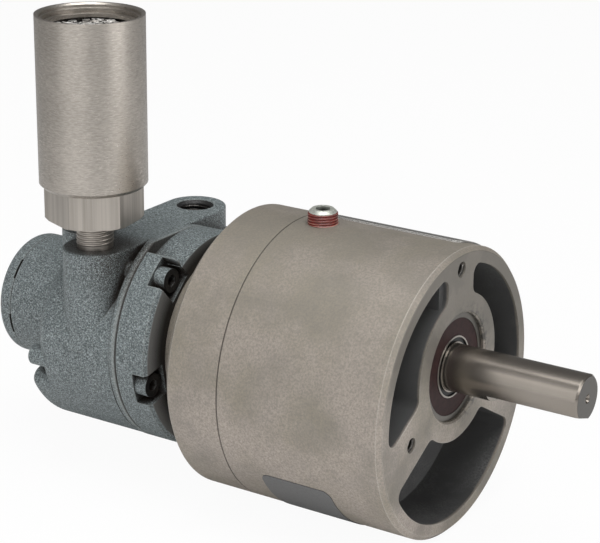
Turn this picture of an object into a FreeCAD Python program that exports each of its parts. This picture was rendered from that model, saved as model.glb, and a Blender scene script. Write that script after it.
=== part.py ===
import FreeCAD, Part
import math
import os

# Frame: origin on the output shaft's axis at the gear case's front face,
# +X out along the shaft, +Z up, -Y the side that carries the muffler.
# All sizes are in millimetres and all angles in degrees.

# Gear case
CASE_WALL = 5.4
CASE_ROOM = 1.4
CASE_EDGE = 1.6
SEAM_EDGE = 0.3
POCKET_DEPTH = 20.0
POCKET_FLOOR = 9.0
POCKET_CORNER_SHARE = 0.36
LEDGE_DEPTH = 2.0
LEDGE_WIDTH = 2.6
HUB_WALL = 6.7
SPOKE_HALF = 8.2
SPOKE_ANGLES = (90, 210, 330)
FACE_HOLE_PCR = 33.75
FACE_HOLE_R = 2.6
FACE_HOLE_DEPTH = 14.0

# Gear case rear cover and the boss that carries the motor
COVER_LEN = 20.9
SPIGOT_LEN = 3.0
SPIGOT_GAP = 0.08
ADAPTER_R = 30.0
ADAPTER_LEN = 13.8
PILOT_R = 24.0
PILOT_LEN = 2.4
PILOT_GAP = 0.1
CORE_R = 12.0
SEAL_CORD_R = 0.75

# Screws
COVER_SCREW_R = 2.0
COVER_SCREW_INSET = 4.8
COVER_SCREW_LEN = 36.0
COVER_BOSS_R = 5.0
MOTOR_SCREW_R = 2.5
MOTOR_SCREW_PCR = 21.0
MOTOR_SCREW_LEN = 40.0
FLANGE_SCREW_R = 2.4
FLANGE_SCREW_INSET = 3.7
FLANGE_SCREW_LEN = 12.0
HEAD_RATIO = 1.75
HEAD_GAP = 0.4
SCREW_GAP = 0.05
QUARTER_ANGLES = (45, 135, 225, 315)

# Gears: module, teeth, face width, and the backlash cut from each tooth
FAST_MODULE = 0.8
FAST_PINION_TEETH = 12
FAST_WHEEL_TEETH = 46
FAST_PINION_WIDTH = 10.0
FAST_WHEEL_WIDTH = 8.0
SLOW_MODULE = 1.0
SLOW_PINION_TEETH = 13
SLOW_WHEEL_TEETH = 52
SLOW_PINION_WIDTH = 13.0
SLOW_WHEEL_WIDTH = 10.0
PRESSURE_ANGLE = 25.0
BACKLASH = 0.06
ADDENDUM = 1.0
DEDENDUM = 1.25
FLANK_STEPS = 3
WHEEL_HUB_R = 10.0
WHEEL_RIM = 3.5
WEB_RECESS = 2.0
GEAR_GAP = 2.0
WHEEL_SPACE = 7.6

# Output shaft
SHAFT_R = 7.9375
JOURNAL_R = 8.5
SHAFT_OUT = 46.2
SHAFT_CHAMFER = 0.7
FLAT_DEPTH = 1.64
FLAT_LEN = 32.0
FLAT_ANGLE = 251.0
CENTRE_HOLE_R = 1.6
CENTRE_HOLE_DEPTH = 4.0
COLLAR_R = 9.8
SHAFT_REAR_R = 7.5
KEY_SIZE = 4.0
KEY_LEN = 8.0
RING_WIDTH = 1.1
RING_HEIGHT = 2.2
RING_SINK = 0.6
RING_OPENING = 3.0

# Countershaft and motor shaft
COUNTER_R = 5.0
COUNTER_END_R = 4.0
MOTOR_NOSE_R = 6.0
MOTOR_JOURNAL_R = 7.5
ROTOR_SHAFT_R = 9.0
PINION_SHANK_R = 3.0
PINION_SHANK_LEN = 13.0
RUNNING_GAP = 0.06
END_GAP = 0.2

# Bearings: the bore is the shaft's own radius
FRONT_BEARING_R = 18.4
FRONT_BEARING_LEN = 12.0
LARGE_BEARING_R = 17.5
LARGE_BEARING_LEN = 11.0
SMALL_BEARING_R = 11.0
SMALL_BEARING_LEN = 7.0
BEARING_RECESS = 1.6
BORE_BEVEL = 0.6
BEARING_RING_SHARE = 0.2
RELIEF_WIDTH = 1.4
RELIEF_DEPTH = 0.5
BALL_COUNT = 7
BALL_GAP = 0.1
BEARING_LIP = 3.5
SEAL_THICK = 1.0
SEAL_SINK = 0.2
SHAFT_SEAL_R = 10.0
SHAFT_SEAL_LEN = 7.0

# Air motor
PLATE_RIM = 1.2
PLATE_LEN = 13.2
PLATE_EDGE = 1.2
TOP_R = 36.4
TOP_START = 47.0
PLATE_TOP_END = 123.0
RIM_TOP_END = 90.0
NOTCH_ANGLES = (12, 132, 192, 252, 312)
NOTCH_WIDTH = 11.5
NOTCH_LEN = 6.0
NOTCH_DEPTH = 8.7
BODY_R = 39.7
BODY_LEN = 36.7
BODY_EDGE = 6.0
BODY_RIM = 2.4
BODY_TOP_R = 42.8
BODY_TOP = 33.0
RIM_SINK = 0.1
LOBE_R = 3.7
JOINT_EDGE = 0.6
LOBE_LEN = 3.2
PAD_LEN = 5.3
PAD_START = 203.0
PAD_END = 337.0
PAD_INNER_R = 26.0
PAD_EDGE = 2.0
PAD_CORNER = 4.0
REAR_WALL = 4.0
CHAMBER_WALL = 9.7
ROTOR_ROOM = 3.0
ROTOR_TIP_GAP = 0.1
VANE_COUNT = 4
VANE_THICK = 3.0
VANE_GAP = 0.1
SLOT_FLOOR_R = 14.5
BOSS_R = 22.0
BOSS_LEN = 25.4
BOSS_BLEND = 6.0
CAP_LEN = 6.4
CAP_EDGE = 3.0
CAP_SLOT_WIDTH = 0.9
CAP_SLOT_DEPTH = 1.4
CAP_SLOT_SPREAD = 20.0
CAP_SLOT_ANGLES = (41, 139, 194, 346)
CAP_SPIGOT_LEN = 4.0
CAP_WALL = 4.5
CAP_SPIGOT_WALL = 2.5

# Ports and muffler
PORT_X = -126.1
PORT_INSET = 10.7
PORT_TOP = 35.2
PORT_BOSS_R = 11.2
PORT_R = 5.64
PORT_THREAD_LEN = 12.0
PASSAGE_R = 4.5
PASSAGE_DEPTH = 33.0
PORT_EDGE = 0.8
PORT_MOUTH_R = 7.0
REAR_BOSS_X = -138.9
REAR_BOSS_Y = -17.0
REAR_BOSS_R = 9.0
REAR_BOSS_RISE = 1.4
NIPPLE_R = 6.2
NIPPLE_LEN = 9.9
MUFFLER_BORE = 4.2
HEX_LEN = 12.0
HEX_R = 16.8
HEX_TURN = 39.0
HEX_CORNER = 1.2
HEX_CORNER_SLOPE = 0.58
SHELL_R = 18.4
SHELL_LEN = 58.6
SHELL_WALL = 2.4
SHELL_FLOOR = 4.0
SHELL_CHAMFER = 1.3
SHELL_NECK_R = 11.0
MOUTH_STEP_R = 16.9
MOUTH_STEP_DEPTH = 1.6
MOUTH_BEVEL = 0.6
WOOL_DOWN = 8.0
MOUTH_RING_DOWN = 3.0
MOUTH_RING_THICK = 1.4
MOUTH_RING_WIDTH = 1.8

# Oil plug
PLUG_TO_SEAM = 8.8
PLUG_R = 4.7
PLUG_THREAD_R = 4.2
PLUG_STAND = 5.0
PLUG_BEVEL = 0.9
PLUG_SOCKET = 4.8
PLUG_SOCKET_DEPTH = 4.0
SEALANT = 0.5
SEALANT_DOWN = 0.3

# Plates on the case
SIDE_PLATE_TO_SEAM = 5.6
SIDE_PLATE_LEN = 50.0
SIDE_PLATE_START = 27.0
SIDE_PLATE_END = 79.5
SIDE_PLATE_THICK = 0.6
LABEL_TO_SEAM = 12.9
LABEL_LEN = 26.6
LABEL_START = 210.0
LABEL_END = 262.0
LABEL_THICK = 0.25
LABEL_CORNER = 3.0
PLATE_PIN_R = 1.4
PLATE_PIN_HEAD = 0.8
PLATE_PIN_LEN = 3.0
PLATE_PIN_INSET = 4.0

# Places worked out from the sizes above
FAST_CENTRES = FAST_MODULE * (FAST_PINION_TEETH + FAST_WHEEL_TEETH) / 2
SLOW_CENTRES = SLOW_MODULE * (SLOW_PINION_TEETH + SLOW_WHEEL_TEETH) / 2
COUNTER_Z = -SLOW_CENTRES
CASE_Z = COUNTER_Z + FAST_CENTRES
BORE_R = FAST_CENTRES + FAST_MODULE * (FAST_WHEEL_TEETH / 2 + ADDENDUM) + CASE_ROOM
CASE_R = BORE_R + CASE_WALL
HUB_R = FRONT_BEARING_R + HUB_WALL
POCKET_CORNER = POCKET_CORNER_SHARE * (BORE_R + CASE_Z - HUB_R)
COVER_SCREW_PCR = BORE_R - COVER_SCREW_INSET
CASE_INNER_LEN = 2 * GEAR_GAP + SLOW_WHEEL_WIDTH + WHEEL_SPACE + FAST_WHEEL_WIDTH + SPIGOT_LEN
WALL_X = -(POCKET_DEPTH + POCKET_FLOOR)
SEAM_X = WALL_X - CASE_INNER_LEN
SPIGOT_X = SEAM_X + SPIGOT_LEN
COVER_X = SEAM_X - COVER_LEN
PLATE_X = COVER_X - ADAPTER_LEN
JOINT_X = PLATE_X - PLATE_LEN
BODY_X = JOINT_X - BODY_LEN
RIM_X = JOINT_X - BODY_RIM - PLATE_RIM
PAD_X = BODY_X - PAD_LEN
PLATE_R = BODY_R + PLATE_RIM
RIM_TOP = TOP_R - RIM_SINK
FLANGE_SCREW_PCR = BODY_R - FLANGE_SCREW_INSET
NOTCH_FLOOR_R = BODY_R - NOTCH_DEPTH
CHAMBER_R = BODY_R - CHAMBER_WALL
ROTOR_R = CHAMBER_R - ROTOR_ROOM
PORT_Y = BODY_R - PORT_INSET
BOSS_X = BODY_X - BOSS_LEN
CAP_X = BOSS_X - CAP_LEN
SLOW_X = WALL_X - GEAR_GAP
SLOW_PINION_X = SLOW_X + (SLOW_PINION_WIDTH - SLOW_WHEEL_WIDTH) / 2 - 1.0
SHAFT_END_X = SLOW_X - SLOW_WHEEL_WIDTH - GEAR_GAP
FAST_X = SPIGOT_X + GEAR_GAP + FAST_WHEEL_WIDTH
FAST_PINION_X = FAST_X + (FAST_PINION_WIDTH - FAST_WHEEL_WIDTH) / 2
NOSE_X = FAST_PINION_X - FAST_PINION_WIDTH - 1.0
FRONT_BEARING_X = -BEARING_RECESS
REAR_BEARING_X = WALL_X + LARGE_BEARING_LEN
COUNTER_FRONT_X = WALL_X + SMALL_BEARING_LEN
COUNTER_REAR_X = SPIGOT_X
MOTOR_FRONT_X = JOINT_X + BEARING_LIP + LARGE_BEARING_LEN
MOTOR_REAR_X = PAD_X
SHAFT_SEAL_X = SPIGOT_X - 1.5
CHAMBER_REAR_X = BODY_X + REAR_WALL
CHAMBER_Z = CASE_Z - (CHAMBER_R - ROTOR_R - ROTOR_TIP_GAP)
PORT_Z = CASE_Z + PORT_TOP
HEX_Z = PORT_Z + NIPPLE_LEN
SHELL_Z = HEX_Z + HEX_LEN
MOUTH_Z = SHELL_Z + SHELL_LEN
CASE_TOP = CASE_Z + CASE_R
PLUG_X = SEAM_X + PLUG_TO_SEAM
SIDE_PLATE_X = SEAM_X + SIDE_PLATE_TO_SEAM
LABEL_X = SEAM_X + LABEL_TO_SEAM


def cylinder(x0, x1, radius, z=0.0, y=0.0):
    """A round bar along X between two places, in either order."""
    low = min(x0, x1)
    return Part.makeCylinder(radius, abs(x1 - x0), FreeCAD.Vector(low, y, z), FreeCAD.Vector(1, 0, 0))


def tube(x0, x1, outer, inner, z=0.0, y=0.0):
    """A round tube along X."""
    return cylinder(x0, x1, outer, z, y).cut(cylinder(x0, x1, inner, z, y))


def upright(z0, z1, radius, x, y):
    """A round bar along Z."""
    return Part.makeCylinder(radius, z1 - z0, FreeCAD.Vector(x, y, z0))


def turned(outline, z=0.0):
    """A solid of revolution about an X axis at height z, from (x, radius) points."""
    points = [FreeCAD.Vector(x, 0, z + radius) for x, radius in outline]
    face = Part.Face(Part.makePolygon(points + points[:1]))
    return face.revolve(FreeCAD.Vector(0, 0, z), FreeCAD.Vector(1, 0, 0), 360)


def around(radius, angle, z=0.0):
    """The (y, z) place on a circle about an X axis at height z."""
    turn = math.radians(angle)
    return radius * math.cos(turn), z + radius * math.sin(turn)


def radial_bar(x0, x1, r0, r1, width, angle, z=0.0):
    """A straight block that runs outwards from an X axis at height z."""
    low = min(x0, x1)
    block = Part.makeBox(abs(x1 - x0), r1 - r0, width, FreeCAD.Vector(low, r0, z - width / 2))
    block.rotate(FreeCAD.Vector(0, 0, z), FreeCAD.Vector(1, 0, 0), angle)
    return block


def wedge(x0, x1, radius, start, end, z=0.0):
    """A slice of a round bar along X between two angles."""
    centre = FreeCAD.Vector(0, 0, 0)
    piece = Part.makeCylinder(radius, abs(x1 - x0), centre, FreeCAD.Vector(0, 0, 1), end - start)
    piece.rotate(centre, FreeCAD.Vector(0, 1, 0), 90)
    piece.rotate(centre, FreeCAD.Vector(1, 0, 0), start - 270)
    piece.translate(FreeCAD.Vector(min(x0, x1), 0, z))
    return piece


def beyond_flat(x0, x1, distance, angle, z=0.0):
    """The space past a flat at a distance from an X axis, as a tool to cut with."""
    return radial_bar(x0, x1, distance, distance + CASE_R, 4 * CASE_R, angle, z)


def beyond_radius(x0, x1, radius, start, end, z=0.0):
    """The space past a radius between two angles, as a tool to cut with."""
    return wedge(x0, x1, radius + CASE_R, start, end, z).cut(cylinder(x0, x1, radius, z))


def rims(shape, x, radius):
    """The round edges about an X axis at one place, for blends."""
    edges = [e for e in shape.Edges if isinstance(e.Curve, Part.Circle)]
    edges = [e for e in edges if abs(e.Curve.Center.x - x) < 0.01]
    return [e for e in edges if abs(e.Curve.Radius - radius) < 0.01]


def prism(sides, radius, z0, z1, x, y, turn=0.0):
    """An upright prism with a regular outline."""
    points = []
    for side in range(sides + 1):
        angle = math.radians(turn + 360.0 * side / sides)
        points.append(FreeCAD.Vector(x + radius * math.cos(angle), y + radius * math.sin(angle), z0))
    return Part.Face(Part.makePolygon(points)).extrude(FreeCAD.Vector(0, 0, z1 - z0))


def join(first, *others):
    """One clean solid from several that touch."""
    return first.multiFuse(list(others)).removeSplitter()


def cap_screw(x_seat, x_end, radius, angle, pitch_r, z, facing):
    """A socket head screw along X; facing is +1 with the head on the +X side."""
    y, height = around(pitch_r, angle, z)
    head_len = 2 * radius
    head = cylinder(x_seat, x_seat + facing * head_len, radius * HEAD_RATIO, height, y)
    shank = cylinder(x_seat, x_end, radius, height, y)
    socket_x = x_seat + facing * head_len
    socket = prism(6, radius * 0.95, 0, head_len * 0.6, 0, 0)
    socket.rotate(FreeCAD.Vector(0, 0, 0), FreeCAD.Vector(0, 1, 0), -90 * facing)
    socket.translate(FreeCAD.Vector(socket_x, y, height))
    return head.fuse(shank).removeSplitter().cut(socket)


def involute(angle):
    """The involute function of a pressure angle in radians."""
    return math.tan(angle) - angle


def gear(module, teeth, x_front, width, z, first_tooth):
    """A spur gear about an X axis; first_tooth is the angle of one tooth's middle."""
    pitch_r = module * teeth / 2
    base_r = pitch_r * math.cos(math.radians(PRESSURE_ANGLE))
    tip_r = pitch_r + ADDENDUM * module
    root_r = pitch_r - DEDENDUM * module
    flank_r = max(base_r, root_r)
    half = (math.pi / 2 - BACKLASH / module) / teeth + involute(math.radians(PRESSURE_ANGLE))
    flank = [(root_r, half - involute(math.acos(base_r / flank_r)))]
    for step in range(FLANK_STEPS + 1):
        radius = flank_r + (tip_r - flank_r) * step / FLANK_STEPS
        flank.append((radius, half - involute(math.acos(min(1.0, base_r / radius)))))
    points = []
    for tooth in range(teeth):
        middle = math.radians(first_tooth + 360.0 * tooth / teeth)
        outline = [(r, middle - a) for r, a in flank] + [(r, middle + a) for r, a in reversed(flank)]
        points += [FreeCAD.Vector(x_front, r * math.cos(a), z + r * math.sin(a)) for r, a in outline]
    wheel = Part.Face(Part.makePolygon(points + points[:1]))
    return wheel.extrude(FreeCAD.Vector(-width, 0, 0))


def bearing(x_front, outer, width, bore, z):
    """A ball bearing whose front face is at x_front: outer ring, inner ring, balls."""
    section = outer - bore
    ring = section * BEARING_RING_SHARE
    ball_r = section / 2 - ring - BALL_GAP
    x_rear = x_front - width
    race = tube(x_rear, x_front, outer, outer - ring, z)
    sleeve = tube(x_rear, x_front, bore + ring, bore, z)
    balls = []
    for count in range(BALL_COUNT):
        y, height = around((outer + bore) / 2, 360.0 * count / BALL_COUNT, z)
        balls.append(Part.makeSphere(ball_r, FreeCAD.Vector((x_front + x_rear) / 2, y, height)))
    return race, sleeve, balls


def snap_ring(x_front, shaft_r, z):
    """A retaining ring on a shaft, seated in its groove."""
    inner = shaft_r - RING_SINK
    ring = tube(x_front - RING_WIDTH, x_front, shaft_r + RING_HEIGHT, inner, z)
    gap = radial_bar(x_front + 1, x_front - RING_WIDTH - 1, inner - 1, shaft_r + RING_HEIGHT + 1,
                     RING_OPENING, 90, z)
    return ring.cut(gap)


def snap_groove(x_front, shaft_r, z):
    """The groove that a retaining ring sits in."""
    return tube(x_front - RING_WIDTH, x_front, shaft_r + 1, shaft_r - RING_SINK, z)


def face_pockets():
    """The three kidney pockets between the face's spokes."""
    blank = cylinder(-POCKET_DEPTH, 1, BORE_R, CASE_Z).cut(cylinder(-POCKET_DEPTH - 1, 2, HUB_R))
    for angle in SPOKE_ANGLES:
        blank = blank.cut(radial_bar(-POCKET_DEPTH - 1, 2, 0, 2 * CASE_R, 2 * SPOKE_HALF, angle))
    pockets = []
    for pocket in blank.Solids:
        upright_edges = [e for e in pocket.Edges if abs(e.BoundBox.XLength - POCKET_DEPTH - 1) < 0.01]
        corners = [e for e in upright_edges if e.BoundBox.YLength + e.BoundBox.ZLength < 0.01]
        pocket = pocket.makeFillet(POCKET_CORNER, corners)
        pockets.append(pocket.cut(Part.makeCompound(pocket_ledges())))
    return pockets


def pocket_ledges():
    """The low ledge beside each spoke, on its clockwise side."""
    ledges = []
    for angle in SPOKE_ANGLES:
        ledge = Part.makeBox(POCKET_DEPTH, CASE_R, LEDGE_WIDTH,
                             FreeCAD.Vector(-LEDGE_DEPTH - POCKET_DEPTH, 0, SPOKE_HALF))
        ledge.rotate(FreeCAD.Vector(0, 0, 0), FreeCAD.Vector(1, 0, 0), angle)
        ledges.append(ledge)
    return ledges


def gear_housing():
    """The cast front case: rim, spokes and hub in front, gear chamber behind."""
    outline = [(SEAM_X, 0), (SEAM_X, CASE_R - SEAM_EDGE), (SEAM_X + SEAM_EDGE, CASE_R),
               (-CASE_EDGE, CASE_R), (0, CASE_R - CASE_EDGE), (0, 0)]
    case = turned(outline, CASE_Z)
    chamber = cylinder(SEAM_X - 1, WALL_X, BORE_R, CASE_Z)
    posts = []
    for angle in QUARTER_ANGLES:
        y, z = around(COVER_SCREW_PCR, angle, CASE_Z)
        posts.append(cylinder(SPIGOT_X + END_GAP, WALL_X, COVER_BOSS_R, z, y))
    chamber = chamber.cut(Part.makeCompound(posts))
    tools = [chamber] + face_pockets()
    tools.append(cylinder(FRONT_BEARING_X - FRONT_BEARING_LEN, 1, FRONT_BEARING_R))
    bevel = [(-BORE_BEVEL, 0), (-BORE_BEVEL, FRONT_BEARING_R), (0, FRONT_BEARING_R + BORE_BEVEL), (0, 0)]
    tools.append(turned(bevel))
    tools.append(cylinder(WALL_X - 1, 0, LARGE_BEARING_R - BEARING_LIP))
    tools.append(cylinder(WALL_X - 1, REAR_BEARING_X, LARGE_BEARING_R))
    tools.append(cylinder(WALL_X - 1, COUNTER_FRONT_X, SMALL_BEARING_R, COUNTER_Z))
    tools.append(upright(CASE_TOP - 2 * CASE_WALL, CASE_TOP + 1, PLUG_THREAD_R + SCREW_GAP, PLUG_X, 0))
    for angle in SPOKE_ANGLES:
        y, z = around(FACE_HOLE_PCR, angle)
        tools.append(cylinder(-FACE_HOLE_DEPTH, 1, FACE_HOLE_R, z, y))
    for angle in QUARTER_ANGLES:
        y, z = around(COVER_SCREW_PCR, angle, CASE_Z)
        tools.append(cylinder(SEAM_X, COVER_X + COVER_SCREW_LEN + 4, COVER_SCREW_R + SCREW_GAP, z, y))
    return case.cut(Part.makeCompound(tools))


def rear_cover():
    """The rear half of the gear case, with its spigot and the motor's boss."""
    spigot_r = BORE_R - SPIGOT_GAP
    outline = [(COVER_X, 0), (COVER_X, CASE_R - CASE_EDGE), (COVER_X + CASE_EDGE, CASE_R),
               (SEAM_X - SEAM_EDGE, CASE_R), (SEAM_X, CASE_R - SEAM_EDGE), (SEAM_X, spigot_r),
               (SPIGOT_X, spigot_r), (SPIGOT_X, 0)]
    cover = turned(outline, CASE_Z).fuse(cylinder(PLATE_X, COVER_X, ADAPTER_R, CASE_Z)).removeSplitter()
    head_r = COVER_SCREW_R * HEAD_RATIO + HEAD_GAP
    tools = [cylinder(PLATE_X - 1, PLATE_X + PILOT_LEN + PILOT_GAP, PILOT_R + SPIGOT_GAP, CASE_Z),
             cylinder(PLATE_X, SHAFT_SEAL_X - SHAFT_SEAL_LEN - 1.5, CORE_R, CASE_Z),
             cylinder(PLATE_X, 0, MOTOR_NOSE_R + 1, CASE_Z),
             cylinder(SHAFT_SEAL_X - SHAFT_SEAL_LEN, SPIGOT_X + 1, SHAFT_SEAL_R, CASE_Z),
             cylinder(SPIGOT_X - SMALL_BEARING_LEN, SPIGOT_X + 1, SMALL_BEARING_R, COUNTER_Z),
             cylinder(SPIGOT_X - SMALL_BEARING_LEN - 3, SPIGOT_X, COUNTER_END_R + 2, COUNTER_Z)]
    for angle in QUARTER_ANGLES:
        y, z = around(COVER_SCREW_PCR, angle, CASE_Z)
        tools.append(cylinder(COVER_X, SPIGOT_X + 1, COVER_SCREW_R + SCREW_GAP, z, y))
        tools.append(cylinder(COVER_X - 1, COVER_X + 2 * COVER_SCREW_R + HEAD_GAP, head_r, z, y))
        y, z = around(MOTOR_SCREW_PCR, angle, CASE_Z)
        tools.append(cylinder(PLATE_X, SPIGOT_X, MOTOR_SCREW_R + SCREW_GAP, z, y))
        sink_r = MOTOR_SCREW_R * HEAD_RATIO + HEAD_GAP
        tools.append(cylinder(SPIGOT_X + 1, SPIGOT_X - 2 * MOTOR_SCREW_R - HEAD_GAP, sink_r, z, y))
    groove_x = (SPIGOT_X + SEAM_X) / 2
    tools.append(tube(groove_x - SEAL_CORD_R - 0.1, groove_x + SEAL_CORD_R + 0.1,
                      CASE_R, spigot_r - 2 * SEAL_CORD_R, CASE_Z))
    return cover.cut(Part.makeCompound(tools))


def cover_seal():
    """The round cord seal in the spigot's groove."""
    groove_x = (SPIGOT_X + SEAM_X) / 2
    return Part.makeTorus(BORE_R - SPIGOT_GAP - SEAL_CORD_R, SEAL_CORD_R,
                          FreeCAD.Vector(groove_x, 0, CASE_Z), FreeCAD.Vector(1, 0, 0))


def cover_screws():
    """Four screws that hold the two halves of the case together."""
    seat = COVER_X + 2 * COVER_SCREW_R + HEAD_GAP
    return [cap_screw(seat, COVER_X + COVER_SCREW_LEN, COVER_SCREW_R, angle, COVER_SCREW_PCR, CASE_Z, -1)
            for angle in QUARTER_ANGLES]


def motor_screws():
    """Four screws from inside the case into the motor's drive end plate."""
    seat = SPIGOT_X - 2 * MOTOR_SCREW_R - HEAD_GAP
    return [cap_screw(seat, seat - MOTOR_SCREW_LEN, MOTOR_SCREW_R, angle, MOTOR_SCREW_PCR, CASE_Z, 1)
            for angle in QUARTER_ANGLES]


def output_shaft():
    """The stepped output shaft with its drive flat, collar, keyway and centre hole."""
    x_collar = FRONT_BEARING_X - FRONT_BEARING_LEN
    outline = [(SHAFT_END_X, 0), (SHAFT_END_X, SHAFT_REAR_R - 0.5), (SHAFT_END_X + 0.5, SHAFT_REAR_R),
               (REAR_BEARING_X, SHAFT_REAR_R), (REAR_BEARING_X, COLLAR_R), (x_collar, COLLAR_R),
               (x_collar, JOURNAL_R), (FRONT_BEARING_X, JOURNAL_R), (FRONT_BEARING_X, SHAFT_R),
               (SHAFT_OUT - FLAT_LEN, SHAFT_R),
               (SHAFT_OUT - SHAFT_CHAMFER, SHAFT_R),
               (SHAFT_OUT, SHAFT_R - SHAFT_CHAMFER), (SHAFT_OUT, 0)]
    shaft = turned(outline)
    flat = radial_bar(SHAFT_OUT - FLAT_LEN, SHAFT_OUT + 1, SHAFT_R - FLAT_DEPTH, 2 * SHAFT_R,
                      2 * SHAFT_R, FLAT_ANGLE)
    centre = turned([(SHAFT_OUT - CENTRE_HOLE_DEPTH, 0), (SHAFT_OUT - CENTRE_HOLE_R, CENTRE_HOLE_R * 0.5),
                     (SHAFT_OUT + 0.1, CENTRE_HOLE_R), (SHAFT_OUT + 0.1, 0)])
    return shaft.cut(Part.makeCompound([flat, centre, gear_key_space(SCREW_GAP),
                                        snap_groove(SLOW_X - SLOW_WHEEL_WIDTH, SHAFT_REAR_R, 0)]))


def gear_key_space(gap):
    """The key between the output shaft and its gear, grown by a gap."""
    middle = SLOW_X - SLOW_WHEEL_WIDTH / 2
    half = KEY_LEN / 2
    return radial_bar(middle - half - gap, middle + half + gap, SHAFT_REAR_R - KEY_SIZE / 2 - gap,
                      SHAFT_REAR_R + KEY_SIZE / 2 + gap, KEY_SIZE + 2 * gap, 90)


def output_gear():
    """The large output wheel with its hub, web and keyway."""
    pinion_side = -90.0 + 180.0 / SLOW_WHEEL_TEETH
    wheel = gear(SLOW_MODULE, SLOW_WHEEL_TEETH, SLOW_X, SLOW_WHEEL_WIDTH, 0, pinion_side)
    rim_r = SLOW_MODULE * (SLOW_WHEEL_TEETH / 2 - DEDENDUM) - WHEEL_RIM
    recess = tube(SLOW_X - WEB_RECESS, SLOW_X + 1, rim_r, WHEEL_HUB_R)
    rear = SLOW_X - SLOW_WHEEL_WIDTH
    recess_rear = tube(rear - 1, rear + WEB_RECESS, rim_r, WHEEL_HUB_R)
    wheel = wheel.cut(Part.makeCompound([recess, recess_rear]))
    wheel = join(wheel, cylinder(SLOW_X - 1, WALL_X, WHEEL_HUB_R))
    slot = gear_key_space(SCREW_GAP)
    through = radial_bar(rear - 1, WALL_X + 1, 0, SHAFT_REAR_R + KEY_SIZE / 2 + SCREW_GAP,
                         KEY_SIZE + 2 * SCREW_GAP, 90)
    return wheel.cut(cylinder(rear - 1, WALL_X + 1, SHAFT_REAR_R)).cut(slot.fuse(through))


def countershaft():
    """The countershaft, with the slow pinion cut in one piece with it."""
    rear_x = COUNTER_REAR_X - SMALL_BEARING_LEN - 1.0
    pinion_rear = SLOW_PINION_X - SLOW_PINION_WIDTH
    root_r = SLOW_MODULE * (SLOW_PINION_TEETH / 2 - DEDENDUM)
    outline = [(rear_x, 0), (rear_x, COUNTER_END_R), (COUNTER_REAR_X, COUNTER_END_R),
               (COUNTER_REAR_X, COUNTER_R), (pinion_rear + 1, COUNTER_R), (pinion_rear + 1, root_r - 0.3),
               (WALL_X, root_r - 0.3), (WALL_X, COUNTER_END_R),
               (COUNTER_FRONT_X - END_GAP, COUNTER_END_R), (COUNTER_FRONT_X - END_GAP, 0)]
    pinion = gear(SLOW_MODULE, SLOW_PINION_TEETH, SLOW_PINION_X, SLOW_PINION_WIDTH, COUNTER_Z, 90)
    return join(turned(outline, COUNTER_Z), pinion)


def countershaft_gear():
    """The fast wheel on the countershaft, with its hub and web."""
    pinion_side = 90.0 + 180.0 / FAST_WHEEL_TEETH
    wheel = gear(FAST_MODULE, FAST_WHEEL_TEETH, FAST_X, FAST_WHEEL_WIDTH, COUNTER_Z, pinion_side)
    rim_r = FAST_MODULE * (FAST_WHEEL_TEETH / 2 - DEDENDUM) - WHEEL_RIM + 1
    recess = tube(FAST_X - WEB_RECESS, FAST_X + 1, rim_r, COUNTER_R + 3, COUNTER_Z)
    hub = cylinder(FAST_X - 1, FAST_X + GEAR_GAP, COUNTER_R + 3, COUNTER_Z)
    wheel = join(wheel.cut(recess), hub)
    return wheel.cut(cylinder(FAST_X - FAST_WHEEL_WIDTH - 1, FAST_X + GEAR_GAP + 1, COUNTER_R, COUNTER_Z))


def input_pinion():
    """The fast pinion, with the shank that is pressed into the motor shaft."""
    pinion = gear(FAST_MODULE, FAST_PINION_TEETH, FAST_PINION_X, FAST_PINION_WIDTH, CASE_Z, -90)
    rear = FAST_PINION_X - FAST_PINION_WIDTH
    return join(pinion, cylinder(NOSE_X - PINION_SHANK_LEN, rear + 1, PINION_SHANK_R, CASE_Z))


def motor_shaft():
    """The motor's stepped shaft, bored at the nose for the pinion."""
    front_journal = MOTOR_FRONT_X
    rear_x = MOTOR_REAR_X - LARGE_BEARING_LEN - 2 * RING_WIDTH
    outline = [(rear_x, 0), (rear_x, MOTOR_JOURNAL_R - 0.5), (rear_x + 0.5, MOTOR_JOURNAL_R),
               (MOTOR_REAR_X, MOTOR_JOURNAL_R), (MOTOR_REAR_X, ROTOR_SHAFT_R),
               (JOINT_X + BEARING_LIP, ROTOR_SHAFT_R), (JOINT_X + BEARING_LIP, MOTOR_JOURNAL_R),
               (front_journal, MOTOR_JOURNAL_R), (front_journal, MOTOR_NOSE_R),
               (NOSE_X - 0.5, MOTOR_NOSE_R), (NOSE_X, MOTOR_NOSE_R - 0.5), (NOSE_X, 0)]
    bore = cylinder(NOSE_X - PINION_SHANK_LEN - 1, NOSE_X + 1, PINION_SHANK_R, CASE_Z)
    groove = snap_groove(MOTOR_REAR_X - LARGE_BEARING_LEN, MOTOR_JOURNAL_R, CASE_Z)
    return turned(outline, CASE_Z).cut(bore.fuse(groove))


def vane_angles():
    """Where the rotor's vanes stand, the first one straight up."""
    return [90.0 + 360.0 * count / VANE_COUNT for count in range(VANE_COUNT)]


def rotor():
    """The slotted rotor on the motor shaft."""
    body = tube(CHAMBER_REAR_X + END_GAP, JOINT_X - END_GAP, ROTOR_R, ROTOR_SHAFT_R, CASE_Z)
    slots = [radial_bar(CHAMBER_REAR_X, JOINT_X, SLOT_FLOOR_R, ROTOR_R + 1, VANE_THICK + 2 * VANE_GAP,
                        angle, CASE_Z) for angle in vane_angles()]
    return body.cut(Part.makeCompound(slots))


def vanes():
    """The vanes, pushed back into their slots."""
    return [radial_bar(CHAMBER_REAR_X + END_GAP, JOINT_X - END_GAP, SLOT_FLOOR_R + VANE_GAP,
                       ROTOR_R - VANE_GAP, VANE_THICK, angle, CASE_Z) for angle in vane_angles()]


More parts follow.
